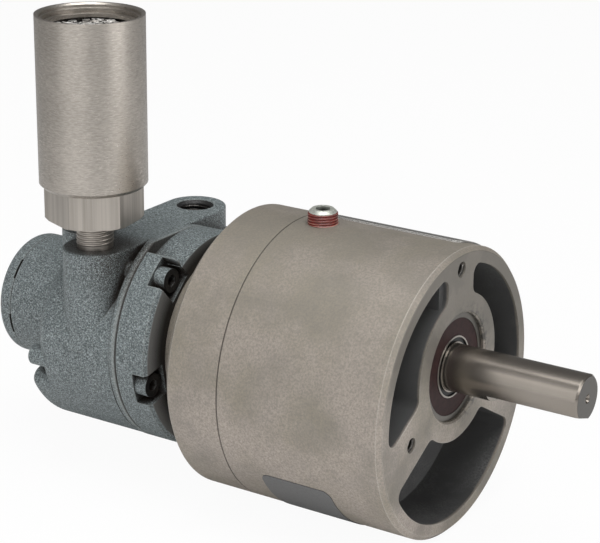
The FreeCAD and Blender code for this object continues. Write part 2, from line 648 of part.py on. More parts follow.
def flange_disc(outline):
    """A turned disc about the motor's axis, level with the body at the bottom."""
    return turned(outline, CASE_Z).common(turned(outline, CASE_Z + PLATE_RIM))


def drive_end_plate():
    """The motor's front plate: pilot, bearing seat and notched flange."""
    outline = [(JOINT_X, 0), (JOINT_X, PLATE_R - JOINT_EDGE), (JOINT_X + JOINT_EDGE, PLATE_R),
               (PLATE_X - PLATE_EDGE, PLATE_R), (PLATE_X, PLATE_R - PLATE_EDGE), (PLATE_X, 0)]
    plate = join(flange_disc(outline), cylinder(PLATE_X - 1, PLATE_X + PILOT_LEN, PILOT_R, CASE_Z))
    tools = [cylinder(MOTOR_FRONT_X - LARGE_BEARING_LEN, PLATE_X + 2 * PILOT_LEN, LARGE_BEARING_R, CASE_Z),
             cylinder(JOINT_X - 1, PLATE_X, ROTOR_SHAFT_R + RUNNING_GAP, CASE_Z)]
    for angle in NOTCH_ANGLES:
        notch = radial_bar(PLATE_X - NOTCH_LEN, PLATE_X + 1, NOTCH_FLOOR_R, PLATE_R + 2, NOTCH_WIDTH,
                           angle, CASE_Z)
        y, z = around(FLANGE_SCREW_PCR, angle, CASE_Z)
        tools += [notch, cylinder(JOINT_X - 1, PLATE_X, FLANGE_SCREW_R + SCREW_GAP, z, y)]
    for angle in QUARTER_ANGLES:
        y, z = around(MOTOR_SCREW_PCR, angle, CASE_Z)
        tools.append(cylinder(JOINT_X + 2, PLATE_X + 2 * PILOT_LEN, MOTOR_SCREW_R + SCREW_GAP, z, y))
    tools.append(beyond_radius(JOINT_X - 1, PLATE_X + 1, TOP_R, TOP_START, PLATE_TOP_END, CASE_Z))
    return plate.cut(Part.makeCompound(tools))


def flange_screws():
    """Screws that hold the drive end plate to the motor body."""
    seat = PLATE_X - NOTCH_LEN
    return [cap_screw(seat, seat - FLANGE_SCREW_LEN, FLANGE_SCREW_R, angle, FLANGE_SCREW_PCR, CASE_Z, 1)
            for angle in NOTCH_ANGLES]


def port_block():
    """The flat-topped web with a round boss at each port, its top edge rounded."""
    web = Part.makeBox(2 * PORT_BOSS_R, 2 * PORT_Y, PORT_TOP,
                       FreeCAD.Vector(PORT_X - PORT_BOSS_R, -PORT_Y, CASE_Z))
    bosses = [upright(CASE_Z, PORT_Z, PORT_BOSS_R, PORT_X, side * PORT_Y) for side in (-1, 1)]
    block = join(web, *bosses)
    top_edges = [e for e in block.Edges if e.BoundBox.ZMin > PORT_Z - 0.01]
    return block.makeFillet(PORT_EDGE, top_edges)


def body_core():
    """The body behind its rim: a cylinder lowered on top, with blended ends and the bearing boss."""
    round_part = cylinder(BODY_X, RIM_X, BODY_R, CASE_Z)
    lowered = cylinder(BODY_X, RIM_X, BODY_TOP_R, CASE_Z + BODY_TOP - BODY_TOP_R)
    barrel = round_part.common(lowered)
    rear_edges = [e for e in barrel.Edges if e.BoundBox.XMax < BODY_X + 0.01]
    barrel = barrel.makeFillet(BODY_EDGE, rear_edges)
    core = join(barrel, cylinder(BOSS_X, RIM_X, BOSS_R, CASE_Z))
    return core.makeFillet(BOSS_BLEND, rims(core, BODY_X, BOSS_R))


def body_rim():
    """The body's flange, cut lower on top like the drive end plate."""
    outline = [(RIM_X, 0), (RIM_X, BODY_R), (RIM_X + PLATE_RIM, PLATE_R), (JOINT_X - JOINT_EDGE, PLATE_R),
               (JOINT_X, PLATE_R - JOINT_EDGE), (JOINT_X, 0)]
    rim = flange_disc(outline).cut(beyond_flat(RIM_X - 1, JOINT_X + 1, RIM_TOP, 90, CASE_Z))
    return rim.cut(beyond_radius(RIM_X - 1, JOINT_X + 1, TOP_R, TOP_START, RIM_TOP_END, CASE_Z))


def rear_pad():
    """The raised pad round the lower half of the body's rear face."""
    pad = wedge(PAD_X, BODY_X + BODY_EDGE, BODY_R, PAD_START, PAD_END, CASE_Z)
    pad = pad.cut(cylinder(PAD_X - 1, BODY_X + BODY_EDGE + 1, PAD_INNER_R, CASE_Z))
    corners = []
    for angle in (PAD_START, PAD_END):
        y, z = around(BODY_R, angle, CASE_Z)
        corners += [e for e in pad.Edges if math.hypot(e.BoundBox.YMin - y, e.BoundBox.ZMin - z) < 0.01
                    and e.BoundBox.XLength > PAD_LEN]
    pad = pad.makeFillet(PAD_CORNER, corners)
    return pad.makeFillet(PAD_EDGE, rims(pad, PAD_X, BODY_R))


def flange_screw_places():
    """The (y, z) places of the flange screws."""
    return [around(FLANGE_SCREW_PCR, angle, CASE_Z) for angle in NOTCH_ANGLES]


def motor_body():
    """The cast body: flange, off-centre chamber, port web, screw lobes, pad and bearing boss."""
    screw_end = PLATE_X - NOTCH_LEN - FLANGE_SCREW_LEN
    pieces = [body_rim(), port_block(), rear_pad(),
              upright(CASE_Z, PORT_Z + REAR_BOSS_RISE, REAR_BOSS_R, REAR_BOSS_X, REAR_BOSS_Y)]
    for y, z in flange_screw_places():
        lobe_end = BODY_X - LOBE_LEN if abs(z - CASE_Z) < CHAMBER_R / 2 else screw_end - 2
        pieces.append(cylinder(lobe_end, RIM_X, LOBE_R, z, y))
    body = join(body_core(), *pieces)
    tools = [cylinder(CHAMBER_REAR_X, JOINT_X + 1, CHAMBER_R, CHAMBER_Z),
             cylinder(PAD_X - 1, JOINT_X, ROTOR_SHAFT_R + RUNNING_GAP, CASE_Z),
             cylinder(BOSS_X - 1, MOTOR_REAR_X, LARGE_BEARING_R, CASE_Z)]
    for side in (-1, 1):
        tools.append(upright(PORT_Z - PORT_THREAD_LEN, PORT_Z + 1, PORT_R, PORT_X, side * PORT_Y))
        tools.append(upright(PORT_Z - PASSAGE_DEPTH, PORT_Z, PASSAGE_R, PORT_X, side * PORT_Y))
    mouth_depth = PORT_MOUTH_R - PORT_R
    tools.append(Part.makeCone(PORT_R, PORT_MOUTH_R + 1, mouth_depth + 1,
                               FreeCAD.Vector(PORT_X, PORT_Y, PORT_Z - mouth_depth)))
    for y, z in flange_screw_places():
        tools.append(cylinder(screw_end - 1, JOINT_X + 1, FLANGE_SCREW_R + SCREW_GAP, z, y))
    return body.cut(Part.makeCompound(tools))


def end_cap():
    """The cap over the rear bearing, with slots to pry it off."""
    spigot_x = BOSS_X + CAP_SPIGOT_LEN
    spigot_r = LARGE_BEARING_R - SPIGOT_GAP
    inner_r = spigot_r - CAP_SPIGOT_WALL
    outline = [(CAP_X, 0), (CAP_X, BOSS_R), (BOSS_X - JOINT_EDGE, BOSS_R), (BOSS_X, BOSS_R - JOINT_EDGE),
               (BOSS_X, spigot_r), (spigot_x, spigot_r), (spigot_x, inner_r), (CAP_X + CAP_WALL, inner_r),
               (CAP_X + CAP_WALL, 0)]
    cap = turned(outline, CASE_Z)
    cap = cap.makeFillet(CAP_EDGE, rims(cap, CAP_X, BOSS_R))
    slots = []
    for angle in CAP_SLOT_ANGLES:
        half = CAP_SLOT_SPREAD / 2
        slot = wedge(BOSS_X - CAP_SLOT_WIDTH, BOSS_X, BOSS_R + 1, angle - half, angle + half, CASE_Z)
        slots.append(slot.cut(cylinder(CAP_X, BOSS_X, BOSS_R - CAP_SLOT_DEPTH, CASE_Z)))
    return cap.cut(Part.makeCompound(slots))


def shaft_seal():
    """The lip seal between the gear chamber and the motor."""
    rear = SHAFT_SEAL_X - SHAFT_SEAL_LEN
    inner = MOTOR_NOSE_R + RUNNING_GAP
    outline = [(rear, inner + 2), (rear, SHAFT_SEAL_R), (SHAFT_SEAL_X, SHAFT_SEAL_R),
               (SHAFT_SEAL_X, SHAFT_SEAL_R - 1.2), (rear + 1.5, SHAFT_SEAL_R - 1.2),
               (rear + 1.5, inner + 1), (SHAFT_SEAL_X - 1, inner + 1), (SHAFT_SEAL_X - 1, inner),
               (rear + 3, inner)]
    return turned(outline, CASE_Z)


def muffler_base():
    """The muffler's threaded nipple, hexagon and neck."""
    y = -PORT_Y
    thread = upright(PORT_Z - PORT_THREAD_LEN, PORT_Z, PORT_R - SCREW_GAP, PORT_X, y)
    nipple = upright(PORT_Z, HEX_Z, NIPPLE_R, PORT_X, y)
    hexagon = prism(6, HEX_R, HEX_Z, SHELL_Z, PORT_X, y, HEX_TURN)
    reach = HEX_R - HEX_CORNER + HEX_LEN / HEX_CORNER_SLOPE
    turned_end = Part.makeCone(HEX_R - HEX_CORNER, reach, HEX_LEN, FreeCAD.Vector(PORT_X, y, HEX_Z))
    neck = upright(SHELL_Z, SHELL_Z + SHELL_FLOOR, SHELL_NECK_R - SCREW_GAP, PORT_X, y)
    bore = upright(PORT_Z - PORT_THREAD_LEN, SHELL_Z + SHELL_FLOOR, MUFFLER_BORE, PORT_X, y)
    return join(thread, nipple, hexagon.common(turned_end), neck).cut(bore)


def muffler_shell():
    """The turned tube round the packing."""
    y = -PORT_Y
    inner = SHELL_R - SHELL_WALL
    tube_blank = upright(SHELL_Z + SHELL_CHAMFER, MOUTH_Z, SHELL_R, PORT_X, y)
    foot = Part.makeCone(SHELL_R - SHELL_CHAMFER, SHELL_R, SHELL_CHAMFER,
                         FreeCAD.Vector(PORT_X, y, SHELL_Z))
    groove_top = MOUTH_Z - MOUTH_RING_DOWN
    tools = [upright(SHELL_Z + SHELL_FLOOR, MOUTH_Z + 1, inner, PORT_X, y),
             upright(SHELL_Z - 1, SHELL_Z + SHELL_FLOOR + 1, SHELL_NECK_R, PORT_X, y),
             upright(groove_top - MOUTH_RING_THICK, groove_top, inner + RING_SINK, PORT_X, y),
             upright(MOUTH_Z - MOUTH_STEP_DEPTH, MOUTH_Z + 1, MOUTH_STEP_R, PORT_X, y),
             Part.makeCone(MOUTH_STEP_R, MOUTH_STEP_R + MOUTH_BEVEL, MOUTH_BEVEL,
                           FreeCAD.Vector(PORT_X, y, MOUTH_Z - MOUTH_BEVEL))]
    return join(tube_blank, foot).cut(Part.makeCompound(tools))


def muffler_packing():
    """The plug of steel wool inside the muffler."""
    radius = SHELL_R - SHELL_WALL - 0.1
    return upright(SHELL_Z + SHELL_FLOOR, MOUTH_Z - WOOL_DOWN, radius, PORT_X, -PORT_Y)


def muffler_ring():
    """The ring that keeps the packing in."""
    top = MOUTH_Z - MOUTH_RING_DOWN
    outer = SHELL_R - SHELL_WALL + RING_SINK
    inner = outer - RING_SINK - MOUTH_RING_WIDTH
    ring = upright(top - MOUTH_RING_THICK, top, outer, PORT_X, -PORT_Y)
    return ring.cut(upright(top - MOUTH_RING_THICK, top, inner, PORT_X, -PORT_Y))


def oil_plug():
    """The pipe plug with its hexagon socket."""
    top = CASE_TOP + PLUG_STAND
    thread = upright(CASE_TOP - CASE_WALL, CASE_TOP, PLUG_THREAD_R, PLUG_X, 0)
    bevel_z = top - PLUG_BEVEL
    head = upright(CASE_TOP, bevel_z, PLUG_R, PLUG_X, 0)
    crown = Part.makeCone(PLUG_R, PLUG_R - PLUG_BEVEL, PLUG_BEVEL, FreeCAD.Vector(PLUG_X, 0, bevel_z))
    socket = prism(6, PLUG_SOCKET / math.sqrt(3), top - PLUG_SOCKET_DEPTH, top + 1, PLUG_X, 0)
    return join(thread, head, crown).cut(socket)


def plug_sealant():
    """The band of sealant left on the plug's threads."""
    top = CASE_TOP + PLUG_STAND - PLUG_BEVEL - SEALANT_DOWN
    band = upright(CASE_TOP, top, PLUG_R + SEALANT, PLUG_X, 0)
    return band.cut(upright(CASE_TOP, top, PLUG_R, PLUG_X, 0))


def curved_plate(x0, x1, low, high, thick):
    """A thin plate bent round the case, with round corners."""
    middle = (low + high) / 2
    half = CASE_R * math.sin(math.radians((high - low) / 2))
    shell = tube(x0, x1, CASE_R + thick, CASE_R, CASE_Z)
    block = Part.makeBox(x1 - x0, 2 * half, CASE_R, FreeCAD.Vector(x0, -half, CASE_Z + CASE_R / 4))
    block = block.makeFillet(LABEL_CORNER, [e for e in block.Edges if e.BoundBox.ZLength > CASE_R / 2])
    block.rotate(FreeCAD.Vector(0, 0, CASE_Z), FreeCAD.Vector(1, 0, 0), middle - 90)
    block = block.fuse(block.translated(FreeCAD.Vector(0, *around(CASE_R / 2, middle))))
    return shell.common(block)


def plate_pin(x, angle):
    """A drive pin through the side plate into the case."""
    plate_r = CASE_R + SIDE_PLATE_THICK
    pin = upright(plate_r, plate_r + PLATE_PIN_HEAD, PLATE_PIN_R + PLATE_PIN_HEAD, x, 0)
    pin = pin.fuse(upright(CASE_R - PLATE_PIN_LEN, plate_r, PLATE_PIN_R, x, 0))
    pin.translate(FreeCAD.Vector(0, 0, CASE_Z))
    pin.rotate(FreeCAD.Vector(0, 0, CASE_Z), FreeCAD.Vector(1, 0, 0), angle - 90)
    return pin.removeSplitter()


def plate_pins():
    """Two drive pins on the side plate's middle line."""
    middle = (SIDE_PLATE_START + SIDE_PLATE_END) / 2
    ends = (SIDE_PLATE_X + PLATE_PIN_INSET, SIDE_PLATE_X + SIDE_PLATE_LEN - PLATE_PIN_INSET)
    return [plate_pin(x, middle) for x in ends]


def side_plate():
    """The bare curved plate on the case's far side."""
    return curved_plate(SIDE_PLATE_X, SIDE_PLATE_X + SIDE_PLATE_LEN, SIDE_PLATE_START, SIDE_PLATE_END,
                        SIDE_PLATE_THICK)


def lower_label():
    """The bare label low on the case's near side."""
    return curved_plate(LABEL_X, LABEL_X + LABEL_LEN, LABEL_START, LABEL_END, LABEL_THICK)


def relieve(ring):
    """The front bearing's inner ring with its face turned back beside the shaft."""
    floor = FRONT_BEARING_X - RELIEF_DEPTH
    return ring.cut(cylinder(floor, FRONT_BEARING_X + 1, JOURNAL_R + RELIEF_WIDTH))


def front_seal():
    """The rubber seal in the front bearing."""
    outer = FRONT_BEARING_R
    ring = (outer - JOURNAL_R) * BEARING_RING_SHARE
    front = FRONT_BEARING_X - SEAL_SINK
    return tube(front - SEAL_THICK, front, outer - ring, JOURNAL_R + ring + RUNNING_GAP)


def bearings():
    """Each bearing's outer ring, inner ring and balls as named nodes."""
    places = {
        "output_front": (FRONT_BEARING_X, FRONT_BEARING_R, FRONT_BEARING_LEN, JOURNAL_R, 0),
        "output_rear": (REAR_BEARING_X, LARGE_BEARING_R, LARGE_BEARING_LEN, SHAFT_REAR_R, 0),
        "countershaft_front": (COUNTER_FRONT_X, SMALL_BEARING_R, SMALL_BEARING_LEN, COUNTER_END_R, COUNTER_Z),
        "countershaft_rear": (COUNTER_REAR_X, SMALL_BEARING_R, SMALL_BEARING_LEN, COUNTER_END_R, COUNTER_Z),
        "motor_front": (MOTOR_FRONT_X, LARGE_BEARING_R, LARGE_BEARING_LEN, MOTOR_JOURNAL_R, CASE_Z),
        "motor_rear": (MOTOR_REAR_X, LARGE_BEARING_R, LARGE_BEARING_LEN, MOTOR_JOURNAL_R, CASE_Z),
    }
    nodes = {}
    for name, place in places.items():
        race, sleeve, balls = bearing(*place)
        nodes[name + "_bearing"] = race
        nodes[name + "_inner_ring"] = sleeve
        nodes[name + "_balls"] = Part.makeCompound(balls)
    nodes["output_front_inner_ring"] = relieve(nodes["output_front_inner_ring"])
    return nodes


def main():
    plate_hole_tools = Part.makeCompound(plate_pins())
    nodes = {
        "gear_housing": gear_housing().cut(plate_hole_tools),
        "rear_cover": rear_cover(),
        "cover_seal": cover_seal(),
        "cover_screws": Part.makeCompound(cover_screws()),
        "motor_screws": Part.makeCompound(motor_screws()),
        "output_shaft": output_shaft(),
        "output_gear": output_gear(),
        "gear_key": gear_key_space(0),
        "gear_retaining_ring": snap_ring(SLOW_X - SLOW_WHEEL_WIDTH, SHAFT_REAR_R, 0),
        "front_bearing_seal": front_seal(),
        "countershaft": countershaft(),
        "countershaft_gear": countershaft_gear(),
        "input_pinion": input_pinion(),
        "shaft_seal": shaft_seal(),
        "motor_shaft": motor_shaft(),
        "rotor": rotor(),
        "vanes": Part.makeCompound(vanes()),
        "drive_end_plate": drive_end_plate(),
        "flange_screws": Part.makeCompound(flange_screws()),
        "motor_body": motor_body(),
        "motor_retaining_ring": snap_ring(MOTOR_REAR_X - LARGE_BEARING_LEN, MOTOR_JOURNAL_R, CASE_Z),
        "end_cap": end_cap(),
        "muffler_base": muffler_base(),
        "muffler_shell": muffler_shell(),
        "muffler_packing": muffler_packing(),
        "muffler_ring": muffler_ring(),
        "oil_plug": oil_plug(),
        "plug_sealant": plug_sealant(),
        "side_plate": side_plate().cut(plate_hole_tools),
        "plate_pins": Part.makeCompound(plate_pins()),
        "lower_label": lower_label(),
    }
    nodes.update(bearings())
    os.makedirs("parts", exist_ok=True)
    for name, shape in nodes.items():
        shape.exportStep("parts/" + name + ".step")


main()
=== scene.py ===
import math
import random

import bmesh
import bpy
from mathutils import Matrix, Vector


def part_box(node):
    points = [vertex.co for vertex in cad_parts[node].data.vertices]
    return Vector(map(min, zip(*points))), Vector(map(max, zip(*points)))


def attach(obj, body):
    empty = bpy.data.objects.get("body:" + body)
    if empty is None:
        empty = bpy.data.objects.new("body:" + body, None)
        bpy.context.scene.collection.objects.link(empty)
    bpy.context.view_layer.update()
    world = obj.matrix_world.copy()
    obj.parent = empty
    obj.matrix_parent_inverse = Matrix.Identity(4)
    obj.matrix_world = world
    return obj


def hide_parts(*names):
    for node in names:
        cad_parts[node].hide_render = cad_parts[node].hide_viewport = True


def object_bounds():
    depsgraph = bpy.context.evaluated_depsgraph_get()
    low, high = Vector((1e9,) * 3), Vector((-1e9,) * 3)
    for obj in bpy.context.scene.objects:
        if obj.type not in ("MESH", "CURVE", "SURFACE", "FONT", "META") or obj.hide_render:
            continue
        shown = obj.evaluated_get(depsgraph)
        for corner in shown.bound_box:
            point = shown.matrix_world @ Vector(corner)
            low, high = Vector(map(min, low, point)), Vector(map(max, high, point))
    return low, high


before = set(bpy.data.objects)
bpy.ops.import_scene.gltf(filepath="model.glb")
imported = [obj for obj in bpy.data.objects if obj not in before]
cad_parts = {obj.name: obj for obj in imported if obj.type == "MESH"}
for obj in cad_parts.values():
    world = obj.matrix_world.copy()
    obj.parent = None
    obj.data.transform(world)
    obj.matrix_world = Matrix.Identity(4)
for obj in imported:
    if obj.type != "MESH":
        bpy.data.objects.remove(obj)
cad_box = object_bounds()

MM = 0.001

# Places read from the frame
HOUSING_LOW, HOUSING_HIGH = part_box("gear_housing")
SEAM_X = HOUSING_LOW.x
CASE_Z = (HOUSING_LOW.z + HOUSING_HIGH.z) / 2
CASE_R = (HOUSING_HIGH.z - HOUSING_LOW.z) / 2
FLANGE_LOW, FLANGE_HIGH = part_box("drive_end_plate")
SHELL_LOW, SHELL_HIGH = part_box("muffler_shell")
MUFFLER_X = (SHELL_LOW.x + SHELL_HIGH.x) / 2
MUFFLER_Y = (SHELL_LOW.y + SHELL_HIGH.y) / 2
PACKING_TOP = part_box("muffler_packing")[1].z
BASE_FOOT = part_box("muffler_base")[0].z
SCREW_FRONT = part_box("flange_screws")[1].x
SHAFT_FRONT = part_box("output_shaft")[1].x
PLUG_LOW, PLUG_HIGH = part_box("oil_plug")
PLUG_X = (PLUG_LOW.x + PLUG_HIGH.x) / 2
PLUG_R = (PLUG_HIGH.x - PLUG_LOW.x) / 2

# Threads; the profile's points are shares of the pitch and of the ridge's height
PIPE_PITCH = 1.41 * MM
PORT_THREAD = 12.0 * MM
PORT_TOP = BASE_FOOT + PORT_THREAD
PORT_R = 5.64 * MM
PORT_MOUTH = 1.2 * MM
PORT_RIDGE = 0.5 * MM
NIPPLE_R = 6.18 * MM
NIPPLE_THREAD = 7.6 * MM
NIPPLE_RIDGE = 0.24 * MM
THREAD_START = 0.1 * MM
FACE_HOLE_ANGLES = (90, 210, 330)
FACE_HOLE_PCR = 33.75 * MM
FACE_HOLE_R = 2.6 * MM
FACE_HOLE_PITCH = 1.27 * MM
FACE_HOLE_RIDGE = 0.32 * MM
FACE_HOLE_START = 0.7 * MM
FACE_HOLE_END = 11.0 * MM
PLUG_PITCH = 0.94 * MM
THREAD_PROFILE = ((-0.46, -0.12), (-0.10, 1.0), (0.10, 1.0), (0.46, -0.12))
THREAD_FADE = 0.4
THREAD_STUB = 0.02

# Sealant round the plug
SEALANT_GAP = 0.01 * MM
SEALANT_SINK = 0.2 * MM
SEALANT_THICK = 0.22 * MM
SEALANT_WAVE = 0.17 * MM
SEALANT_FOOT = 0.20 * MM
SEALANT_FOOT_LEVEL = 0.22
SEALANT_CREST_LOW = 0.33 * MM
SEALANT_CREST_HIGH = 0.42 * MM
SEALANT_STEPS = 72
SEALANT_ROWS = 40
SEALANT_SEED = 11
LUMPS = 26
LUMP_LOW = 0.05 * MM
LUMP_HIGH = 0.16 * MM
LUMP_ROUND = 0.8
LUMP_UP = 2.0
LUMP_SPREAD = 0.16

# Steel wool on the packing
WOOL_R = 15.4 * MM
WOOL_HIGH = 3.6 * MM
WOOL_SINK = 0.6 * MM
WOOL_STRIDE = 0.75 * MM
WOOL_LIFT = 0.35 * MM
WOOL_PHASE = 0.4
WOOL_START = 0.9
WOOL_CURL = (0.25, 0.75)
WOOL_SLOPE = (-0.3, 0.9)
WOOL_SWAY = 0.25
WOOL_TURN_BACK = 1.6
WOOL_DRAW_IN = 0.97
WOOL_STRANDS = 260
WOOL_STEPS = 16
WOOL_SIDES = 4
WOOL_SEED = 5
STRAND_THIN = 0.13 * MM
STRAND_THICK = 0.26 * MM

# Places of paint, wear and grime, and of painted highlights and painted shade, on the surfaces
SEAM_DARK = 0.15 * MM
SEAM_FADE = 0.35 * MM
SEAM_CLEAR = 1.0 * MM
RIM_WIDTH = 5.0 * MM
HUB_R = 24.6 * MM
HUB_DIRT_R = 18.5 * MM
HUB_CLEAN_R = 23.0 * MM
HUB_DIRT_NEAR = -2.0 * MM
HUB_DIRT_FAR = 10.0 * MM
POCKET_EDGE = -0.1 * MM
POCKET_DEEP = -0.9 * MM
POCKET_WAVER = 0.5 * MM
FACE_SKIN = 0.2 * MM
# The flange's face in painted shade inside the first radius, its own colour past the second
FLANGE_DARK_R = 32.5 * MM
FLANGE_LIGHT_R = 38.5 * MM
FLANGE_SKIN = 2.55 * MM
# A painted highlight on the body's rim, this far behind the flange
BODY_RIM_LIGHT = 1.3 * MM
BODY_RIM_FADE = 1.7 * MM
JOINT_DARK = 0.3 * MM
JOINT_FADE = 0.5 * MM
# The screws' fronts are in painted shade from this far behind their front
SCREW_SKIN = 0.2 * MM
SHAFT_SKIN = 0.05 * MM
# Painted shade on the inner race within this radius
RELIEF_R = 9.9 * MM
# Painted shade deepening into the plug's socket
SOCKET_R = 2.9 * MM
SOCKET_LIP = 0.1 * MM
SOCKET_DARK = 1.6 * MM
# Painted shade inside the open port, below its lip
PORT_MOUTH_R = 7.1 * MM
PORT_LIP = 0.3 * MM
STAIN_X = MUFFLER_X + 12.0 * MM
STAIN_Y = MUFFLER_Y + 1.0 * MM
STAIN_DARK_R = 8.0 * MM
STAIN_R = 17.0 * MM
STAIN_TOP = PORT_TOP - 5.0 * MM
STAIN_FOOT = PORT_TOP - 22.0 * MM

# Scales of the noise in the surfaces
CAST_CLOUD = 26
CAST_PATCH = 60
CAST_GRAIN = 1350
HUB_SPECK = 420
PAINT_BROAD = 45
PAINT_LUMPS = 1750
PAINT_FINE = 3400
STEEL_CLOUD = 60
GEAR_LINES = 1500
RACE_LINES = 2000
SATIN_LINES = 2900
SHAFT_LINES = 3000
HEXAGON_LINES = 420
PLATED_CLOUD = 400
PLUG_CLOUD = 700
RUBBER_CLOUD = 500
SHEET_GRAIN = 1500

# Camera: place in metres, direction back towards it, roll and lens
CAMERA_PLACE = (0.28939, -0.54293, 0.24474)
CAMERA_TURN = 32.88
CAMERA_RISE = 19.09
CAMERA_ROLL = 0.59
CAMERA_LENS = 121.74
SENSOR_WIDTH = 36.0
CLIP_START = 0.01

# Lamps: name, direction in degrees, size in metres and power in watts
LAMPS = (
    ("left", -2, 20, 1.10, 4.6),
    ("right", 96, 16, 0.70, 4.3),
    ("side", -42, 42, 0.50, 0.45),
    ("top", 40, 80, 0.80, 10.0),
)
LAMP_AIM = Vector((-0.05, 0, 0))
LAMP_REACH = 1.05

# World and floor
WORLD_LEVEL = 0.17
FLOOR_WHITE = 0.950
FLOOR_PAINT = (0.84, 0.84, 0.84)
FLOOR_ROUGHNESS = 0.9
FLOOR_SIZE = 6
FLOOR_GAP = 0.0002

# Colours, linear
ALUMINIUM = (0.466, 0.404, 0.356)
ALUMINIUM_OLIVE = (0.335, 0.298, 0.236)
# Darker cast tone: random patches and grain, and painted shade towards the top
ALUMINIUM_DARK = (0.225, 0.208, 0.182)
# Lighter edges: rubbed wear and a painted highlight
ALUMINIUM_BRIGHT = (0.56, 0.52, 0.47)
FACE_DARKER = (0.180, 0.166, 0.145)
POCKET_PAINT = (0.058, 0.058, 0.058)
# Lighter pocket paint: scuffs, and painted light deep in the pockets
POCKET_WORN_AND_LIT = (0.14, 0.14, 0.137)
MOTOR_PAINT = (0.124, 0.147, 0.151)
MOTOR_SPECK = (0.39, 0.44, 0.445)
MOTOR_PIT = (0.040, 0.049, 0.051)
# Lighter paint: rubbed wear and a painted highlight on edges, and the rim's painted highlight
MOTOR_EDGE = (0.30, 0.32, 0.31)
# Dark brown: the oil-stained patch and the joint, and painted shade in hollows
MOTOR_DIRT_AND_SHADE = (0.022, 0.016, 0.012)
FLANGE_FACE = (0.19, 0.19, 0.185)
STEEL = (0.46, 0.44, 0.41)
STEEL_DARK = (0.34, 0.325, 0.30)
SHAFT_STEEL = (0.305, 0.276, 0.243)
SHAFT_STEEL_DARK = (0.238, 0.211, 0.184)
END_STEEL = (0.090, 0.084, 0.076)
RACE_STEEL = (0.175, 0.165, 0.148)
RACE_STEEL_DARK = (0.105, 0.099, 0.089)
SATIN_STEEL = (0.485, 0.445, 0.402)
SATIN_STEEL_DARK = (0.345, 0.318, 0.285)
ZINC = (0.60, 0.62, 0.56)
ZINC_DARK = (0.40, 0.42, 0.37)
# Plug edges lightened: wear and a painted highlight
ZINC_BRIGHT = (0.85, 0.86, 0.82)
SEAL_BROWN = (0.034, 0.013, 0.012)
SEALANT_RED = (0.17, 0.014, 0.010)
SEALANT_CREST = (0.55, 0.30, 0.24)
LABEL_GREY = (0.135, 0.135, 0.135)
PLATE_GREY = (0.20, 0.195, 0.185)
# The plate's rim lightened: wear and a painted highlight
PLATE_EDGE = (0.75, 0.73, 0.70)
# Near black: painted shade in hollows, gaps, bores and on the screws' fronts; also the case's dark seam
# and the packing's dark tone
DARK_HOLLOW = (0.012, 0.012, 0.012)
# The port's thread: dark for painted shade inside the port
THREAD_DARK = (0.10, 0.095, 0.09)
VANE_BROWN = (0.16, 0.10, 0.05)
WOOL = (0.88, 0.87, 0.84)
PACKING_DARK = (0.03, 0.03, 0.03)

# Metal and gloss of the surfaces
CAST_METAL = 0.45
STEEL_METAL = 0.95
PLATE_METAL = 0.6
GLOSS = 0.5
BARE_GLOSS_LOSS = 0.35
SEAL_GLOSS = 0.25


def towards(turn, rise):
    """The direction with a turn from -Y towards +X and a rise from level, in degrees."""
    turn, rise = math.radians(turn), math.radians(rise)
    return Vector((math.sin(turn) * math.cos(rise), -math.cos(turn) * math.cos(rise), math.sin(rise)))


def add_item(name, data):
    """A new object in the scene."""
    item = bpy.data.objects.new(name, data)
    bpy.context.scene.collection.objects.link(item)
    return item


def camera():
    """The camera at the photograph's place, with its own turn, rise and roll."""
    roll = math.radians(CAMERA_ROLL)
    back = towards(CAMERA_TURN, CAMERA_RISE)
    right = Vector((0, 0, 1)).cross(back).normalized()
    up = back.cross(right)
    rolled_right = math.cos(roll) * right + math.sin(roll) * up
    rolled_up = math.cos(roll) * up - math.sin(roll) * right
    data = bpy.data.cameras.new("camera")
    data.lens = CAMERA_LENS
    data.sensor_width = SENSOR_WIDTH
    data.clip_start = CLIP_START
    item = add_item("camera", data)
    axes = Matrix((rolled_right, rolled_up, back)).transposed().to_4x4()
    item.matrix_world = Matrix.Translation(CAMERA_PLACE) @ axes
    bpy.context.scene.camera = item


def lights():
    """Large soft lamps: to the left of the camera, to its right, beside the motor and above."""
    for name, turn, rise, size, power in LAMPS:
        data = bpy.data.lights.new(name, "AREA")
        data.shape = "SQUARE"
        data.size = size
        data.energy = power
        place = towards(turn, rise) * LAMP_REACH
        item = add_item(name, data)
        item.location = place
        item.rotation_euler = (LAMP_AIM - place).to_track_quat("-Z", "Y").to_euler()


